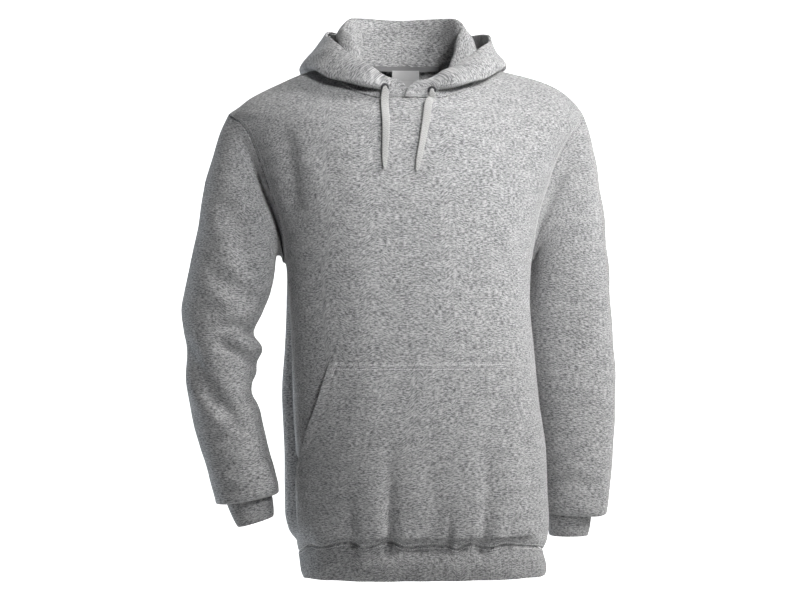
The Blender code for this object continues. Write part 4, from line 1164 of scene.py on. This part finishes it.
labelAcross = np.linspace(neckTrim["labelWidth"] / 2, -neckTrim["labelWidth"] / 2, 40) + neckTrim["labelShift"]
labelTurns = 180 - np.degrees(np.arcsin(labelAcross / body["neckHalfWidth"]))
labelTop = insideNeck(labelTurns, neckTrim["tapeInset"] + neckTrim["tapeWall"] + neckTrim["labelGap"])
labelDrop = np.linspace(neckTrim["labelHeight"], 0, 44)[:, None] + neckTrim["tapeHeight"] / 2 - 1 * mm
labelLean = (labelDrop / 0.045) ** 2 * neckTrim["labelLean"]
creaseHeight, creaseDown, creaseWide = neckTrim["crease"]
labelCrease = creaseHeight * bell(labelDrop, creaseDown, creaseWide)
labelGrid = labelTop[None] - labelDrop[..., None] * np.array([0, 0, 1.0])
labelGrid = labelGrid - (labelLean - labelCrease)[..., None] * np.array([0, 1.0, 0])
neckLabel = clothWall("neckLabel", labelGrid, labelPaint, 0.0, -neckTrim["labelWall"])
register(neckLabel, "label", "neck_label")
laterCuts.append((neckLabel, (0.041, 0.040), "hung", clothArea(labelGrid)))
print("neck tape and label made")

# Eyelets and drawstrings.
eyelets = {
    "places": {"left": (-36, -43), "right": (29, -46)}, "off": 0.35 * mm,
    # its section: distance from the middle and height off the cloth, in millimetres, from the lip
    # at the hole over the flange to the rolled edge and back beneath
    "section": ((2.9, 0.15), (2.75, 0.6), (2.95, 1.0), (3.5, 1.2), (4.2, 1.05), (4.9, 0.95), (5.45, 0.8),
                (5.75, 0.45), (5.8, 0.05), (5.5, -0.15), (4.4, -0.2), (3.2, -0.1)),
}
drawstrings = {
    "halfWidth": 5.4 * mm, "halfThick": 1.4 * mm, "atEyelet": 2.6 * mm, "tip": 1.2 * mm,
    "spread": 4 * mm, "tipLength": 14 * mm, "endRound": 1.2 * mm, "around": 28, "steps": 150,
    # the start, in millimetres out from the eyelet and down; then each cord's way down the chest
    "start": ((-1.2, 0), (1.6, 0.6), (3.2, 4.2), (3.4, 10)),
    "routes": {
        "left": table("x z clear", (-36, -60, 5), (-36, -93, 5), (-38, -135, 4), (-39, -156, 3)),
        "right": table("x z clear", (25, -62, 5), (19, -87, 5), (11, -127, 4), (4, -160, 3))},
    "twist": {"left": (6, -14, 10), "right": (-10, 16, -12)},
}


def chestY(x, z):
    # depth of the front's outer face at a place
    return bodyPoint("front", shareOf("front", np.array([x]), np.array([z])), np.array([z]))[0][1]


def hoodFront(side, x, z):
    # the hood's outer face at a place near the throat: the point and its outward direction
    grid = hoodGrid(side, np.linspace(2, 40, 60), 3).transpose(1, 0, 2)
    far = np.hypot(grid[..., 0] - x, grid[..., 2] - z) + (grid[..., 1] > 0) * 1.0
    row, step = np.unravel_index(np.argmin(far), far.shape)
    away = unit(np.cross(grid[row, step + 1] - grid[row, step - 1], grid[row + 1, step] - grid[row - 1, step]))
    return grid[row, step], away if away[1] < 0 else -away


def eyeletGrid(centre, away):
    # A turned ring: a flat flange with a rolled outer edge and a rolled lip at the hole.
    profile = np.array(eyelets["section"]) * mm
    way = np.arange(64) * 2 * np.pi / 64
    side = unit(np.cross(away, [0, 0, 1.0]))
    up = np.cross(side, away)
    ring = side * np.cos(way)[:, None] - up * np.sin(way)[:, None]
    return centre + profile[:, :1, None] * ring[None] + profile[:, 1:, None] * away


def closedSkin(name, grid, paint, loop):
    # A closed surface around its columns: its rows also loop round, or its two ends are capped.
    rows, columns = grid.shape[:2]
    number = closed(np.arange(rows * columns).reshape(rows, columns))
    points, flow = grid.reshape(-1, 3), weaveOf(grid, True)
    if loop:
        number = np.concatenate([number, number[:1]], 0)
        flow = np.concatenate([flow, flow[:1]], 0)
    faces = quads(number).tolist()
    flows = flow.reshape(-1, 2)[quads(np.arange(number.size).reshape(number.shape)).ravel()]
    if not loop:
        first, last = np.full(columns, len(points)), np.full(columns, len(points) + 1)
        points = np.concatenate([points, grid[:1].mean(1), grid[-1:].mean(1)])
        faces += np.stack([number[0, 1:], number[0, :-1], first], -1).tolist()
        faces += np.stack([number[-1, :-1], number[-1, 1:], last], -1).tolist()
        flows = np.concatenate([flows, np.zeros((6 * columns, 2))])
    return addMesh(name, points, faces, flows, paint)


def cordLine(word, centre, away):
    # the drawstring's middle line: out of the eyelet's hole, over its lip and down the chest
    rows = drawstrings["routes"][word]
    down = np.array([0, 0, -1.0])
    down = unit(down - away * (down @ away))
    points = [centre + away * out * mm + down * drop * mm for out, drop in drawstrings["start"]]
    low = points[-1][1]
    for x, z, clear in zip(rows["x"], rows["z"], rows["clear"]):
        points.append(np.array([x * mm, min(chestY(x * mm, z * mm) - clear * mm, low + 1.5 * mm), z * mm]))
    points = np.array(points)
    legs = np.linalg.norm(np.diff(points, axis=0), axis=1)[:, None]
    dense = through(legs, points, [10] * len(legs))
    run = runOf(dense)
    return readAt(dense, run, np.linspace(0, run[-1], drawstrings["steps"])), run[-1]


def braidGrid(line, away, length, twist):
    # A flat braid: a rounded oblong carried along the line, narrow in the eyelet, tapering to its
    # tip, its face turning a little as it hangs.
    form, along = drawstrings, unit(np.gradient(line, axis=0))
    at = np.linspace(0, length, len(line))
    wide = unit(np.cross(along, np.array([0, -1.0, 0]) * 0.7 + away * 0.3))
    face = np.cross(wide, along)
    stations = np.array([0, 0.3, 0.65, 1.0]) * length
    lean = np.radians(smooth(stations, np.array((0,) + twist, float), at))[:, None]
    wide, face = wide * np.cos(lean) + face * np.sin(lean), face * np.cos(lean) - wide * np.sin(lean)
    spread = 1 - np.exp(-np.maximum(at - 3 * mm, 0) / form["spread"])
    half = form["atEyelet"] + (form["halfWidth"] - form["atEyelet"]) * spread
    half = half * (1 - 0.26 * limited((at / length - 0.40) / 0.5))
    point = limited((length - at) / form["tipLength"])
    half = form["tip"] + (half - form["tip"]) * point ** 0.8
    closing = np.clip((length - at) / form["endRound"], 0.02, 1) ** 0.5
    half = half * closing
    thick = form["halfThick"] * (0.9 + 0.5 * np.exp(-at / (5 * mm))) * closing
    way = -np.arange(form["around"]) * 2 * np.pi / form["around"]
    across, up = np.cos(way) * reach(way, 3.0), np.sin(way) * reach(way, 3.0)
    return (line[:, None] + wide[:, None] * (half[:, None] * across)[..., None]
            + face[:, None] * (thick[:, None] * up)[..., None])


for word, side in (("left", -1), ("right", 1)):
    x, z = (value * mm for value in eyelets["places"][word])
    spot, away = hoodFront(side, x, z)
    centre = spot + away * (hood["layerGap"] / 2 + hood["wall"] + eyelets["off"])
    eyelet = closedSkin(f"{word}Eyelet", eyeletGrid(centre, away)[::-1], nickelPaint, True)
    register(eyelet, "metal", f"eyelet_{word}")
    line, length = cordLine(word, centre, away)
    cordGrid = braidGrid(line, away, length, drawstrings["twist"][word])
    cord = closedSkin(f"{word}Drawstring", cordGrid, cordPaint, False)
    register(cord, "cord", f"drawstring_{word}")
    print(f"{word} eyelet and drawstring:", round(float(length), 4))

# Stitching.
stitching = {
    "pitch": 3.3 * mm, "length": 2.7 * mm, "radius": 0.52 * mm, "fineRadius": 0.36 * mm, "sink": 0.12 * mm,
    "sides": 6, "girths": (-1, -0.7, 0.0, 0.7, 1),
    # rows: above the rib seam and on the band, in from each armhole, below the pocket's top, and in
    # from its mouths on each side
    "aboveHem": 3.0 * mm, "bandDrop": 0.05, "armholeInsets": (0.018, 0.05), "armhole": (-84, -276),
    "pocketDrops": (2.5 * mm, 8.5 * mm), "mouthInsets": ((-1, 0.085), (1, 0.02), (1, 0.085)),
    "mouth": (-425, -560), "underMouth": (-560, -645),
}


def stitchRow(line, away, radius):
    # A row of stitches: capsules of thread at even steps along a line, half sunk in the cloth.
    pitch, half, sides = stitching["pitch"], stitching["length"] / 2, stitching["sides"]
    run = runOf(line)
    at = np.arange(pitch / 2, run[-1] - pitch / 2, pitch)
    centre, ahead = readAt(line, run, at), unit(readAt(line, run, at + half) - readAt(line, run, at - half))
    side = unit(np.cross(ahead, readAt(away, run, at)))
    up = np.cross(side, ahead)
    along = np.array(stitching["girths"])
    girth = np.sqrt(np.maximum(1 - along ** 2, 0.02))
    way = np.arange(sides) * 2 * np.pi / sides
    arch = (radius - stitching["sink"]) * (1 - 0.7 * along ** 2)
    ahead, side, up = (direction[:, None, None] for direction in (ahead, side, up))
    points = (centre[:, None, None] + ahead * (along * half)[None, :, None, None]
              + up * arch[None, :, None, None]
              + side * (girth[:, None] * np.cos(way) * radius)[None, ..., None]
              + up * (girth[:, None] * np.sin(way) * radius)[None, ..., None]).reshape(-1, 3)
    each = len(along) * sides
    number = closed(np.arange(each).reshape(len(along), sides))
    faces = quads(number)[:, ::-1].tolist() + [number[0, :sides].tolist(), number[-1, :sides][::-1].tolist()]
    return points, [[corner + each * index for corner in face] for index in range(len(at)) for face in faces]


def addStitches(name, rows, radius=stitching["radius"]):
    # several rows joined in one piece
    points, faces, start = [], [], 0
    for line, away in rows:
        made, every = stitchRow(line, away, radius)
        points.append(made)
        faces += [[corner + start for corner in face] for face in every]
        start += len(made)
    points = np.concatenate(points)
    flow = points[[corner for face in faces for corner in face]][:, [0, 2]]
    register(addMesh(name, points, faces, flow, stitchPaint), "tape")


def onGrid(grid, row, columns=slice(None), around=False, lift=0.0):
    # a row of a grid with its outward directions
    away = normalsOf(grid, around)
    line, way = grid[row][columns], away[row][columns]
    return line + way * lift, way


def bodyRow(panel, share, z):
    # a line on a panel's face with its outward directions, found from two neighbouring lines
    step = 0.5 * mm
    line = bodyPoint(panel, share, z)
    up = bodyPoint(panel, share, z + step) - bodyPoint(panel, share, z - step)
    aside = bodyPoint(panel, share + 0.002, z) - bodyPoint(panel, share - 0.002, z)
    away = np.cross(aside, up) * (1 if panel == "front" else -1)
    return line, unit(away)


def pocketRow(across, z):
    # a line on the pocket's face with its outward directions
    grid = pocketPoint(np.stack([across] * 3), np.stack([z - 1 * mm, z, z + 1 * mm]))
    away = normalsOf(grid)
    return grid[1], away[1] if away[1][:, 1].mean() < 0 else -away[1]


shares = np.linspace(-0.985, 0.985, 400)
hemRows = [bodyRow(panel, shares, hemHeight(panel, shares) + stitching["aboveHem"])
           for panel in ("front", "back")]
bandRow = next(index for index, drop in enumerate(hemBandForm["drops"]) if drop <= stitching["bandDrop"])
hemRows.append(onGrid(hemGrid, bandRow, around=True, lift=ribs["height"] * 0.5))
addStitches("hemCoverstitch", hemRows)

heights = np.linspace(*stitching["armhole"], 200) * mm
armholeRows = [bodyRow(panel, side * (1 - inset) + 0 * heights, heights)
               for side in (-1, 1) for inset in stitching["armholeInsets"] for panel in ("front", "back")]
addStitches("armholeStitches", armholeRows, stitching["fineRadius"])
addStitches("neckTapeStitches", [onGrid(tapeGrid, row, slice(2, -2)) for row in (1, 7)])

flat = np.linspace(-0.98, 0.98, 220)
slant = np.linspace(*stitching["mouth"], 150) * mm
low = np.linspace(*stitching["underMouth"], 90) * mm
pocketRows = [pocketRow(flat, 0 * flat + pocketForm["top"] - drop) for drop in stitching["pocketDrops"]]
pocketRows += [pocketRow(side * (1 - inset) + 0 * slant, slant) for side, inset in stitching["mouthInsets"]]
pocketRows.append(pocketRow(0.98 + 0 * low, low))
addStitches("pocketStitches", pocketRows, stitching["fineRadius"])
print("stitches made")


# The floor.
def addSweep():
    # paper sweep: a level floor that curves up into a wall well behind
    radius, back, floor = studio["sweepRadius"], studio["sweepBack"], studio["floorHeight"]
    bend = np.linspace(0, math.pi / 2, 24)
    y = np.concatenate([[-6.0], back - radius + radius * np.sin(bend), [back]])
    z = np.concatenate([[floor], floor + radius - radius * np.cos(bend), [studio["sweepHeight"]]])
    wide = studio["sweepHalfWidth"]
    points = np.concatenate([np.stack([0 * y + side * wide, y, z], -1) for side in (-1, 1)])
    count = len(y)
    index = np.arange(count - 1)
    faces = np.stack([index, index + count, index + count + 1, index + 1], -1)
    mesh = bpy.data.meshes.new("paperSweep")
    mesh.from_pydata(points.tolist(), [], faces.tolist())
    mesh.shade_smooth()
    paper = Paint("palePaper", 0.9)
    paper.shader.inputs["Base Color"].default_value = (*studio["paper"], 1)
    spot = paper.node("ShaderNodeTexCoord", {}, {}, "Object")
    depth = paper.node("ShaderNodeSeparateXYZ", {}, {0: spot}, 1)
    near, far = studio["paperGlow"]
    glow = paper.node("ShaderNodeMapRange", {"interpolation_type": "SMOOTHSTEP"},
                      {"Value": depth, "From Min": studio["glowFrom"], "From Max": studio["glowTo"],
                       "To Min": near, "To Max": far})
    paper.feed("Emission Color", paper.mix(glow, (0, 0, 0, 1), (1, 1, 1, 1)))
    paper.shader.inputs["Emission Strength"].default_value = 1.0
    mesh.materials.append(paper.material)
    sweep = bpy.data.objects.new("paperSweep", mesh)
    bpy.context.scene.collection.objects.link(sweep)


addSweep()

# Cloth areas of the front, back and pocket, worked out and not kept; the end.
round(clothArea(frontGrid), 3)
round(clothArea(backGrid), 3)
round(clothArea(pocketGrid), 3)
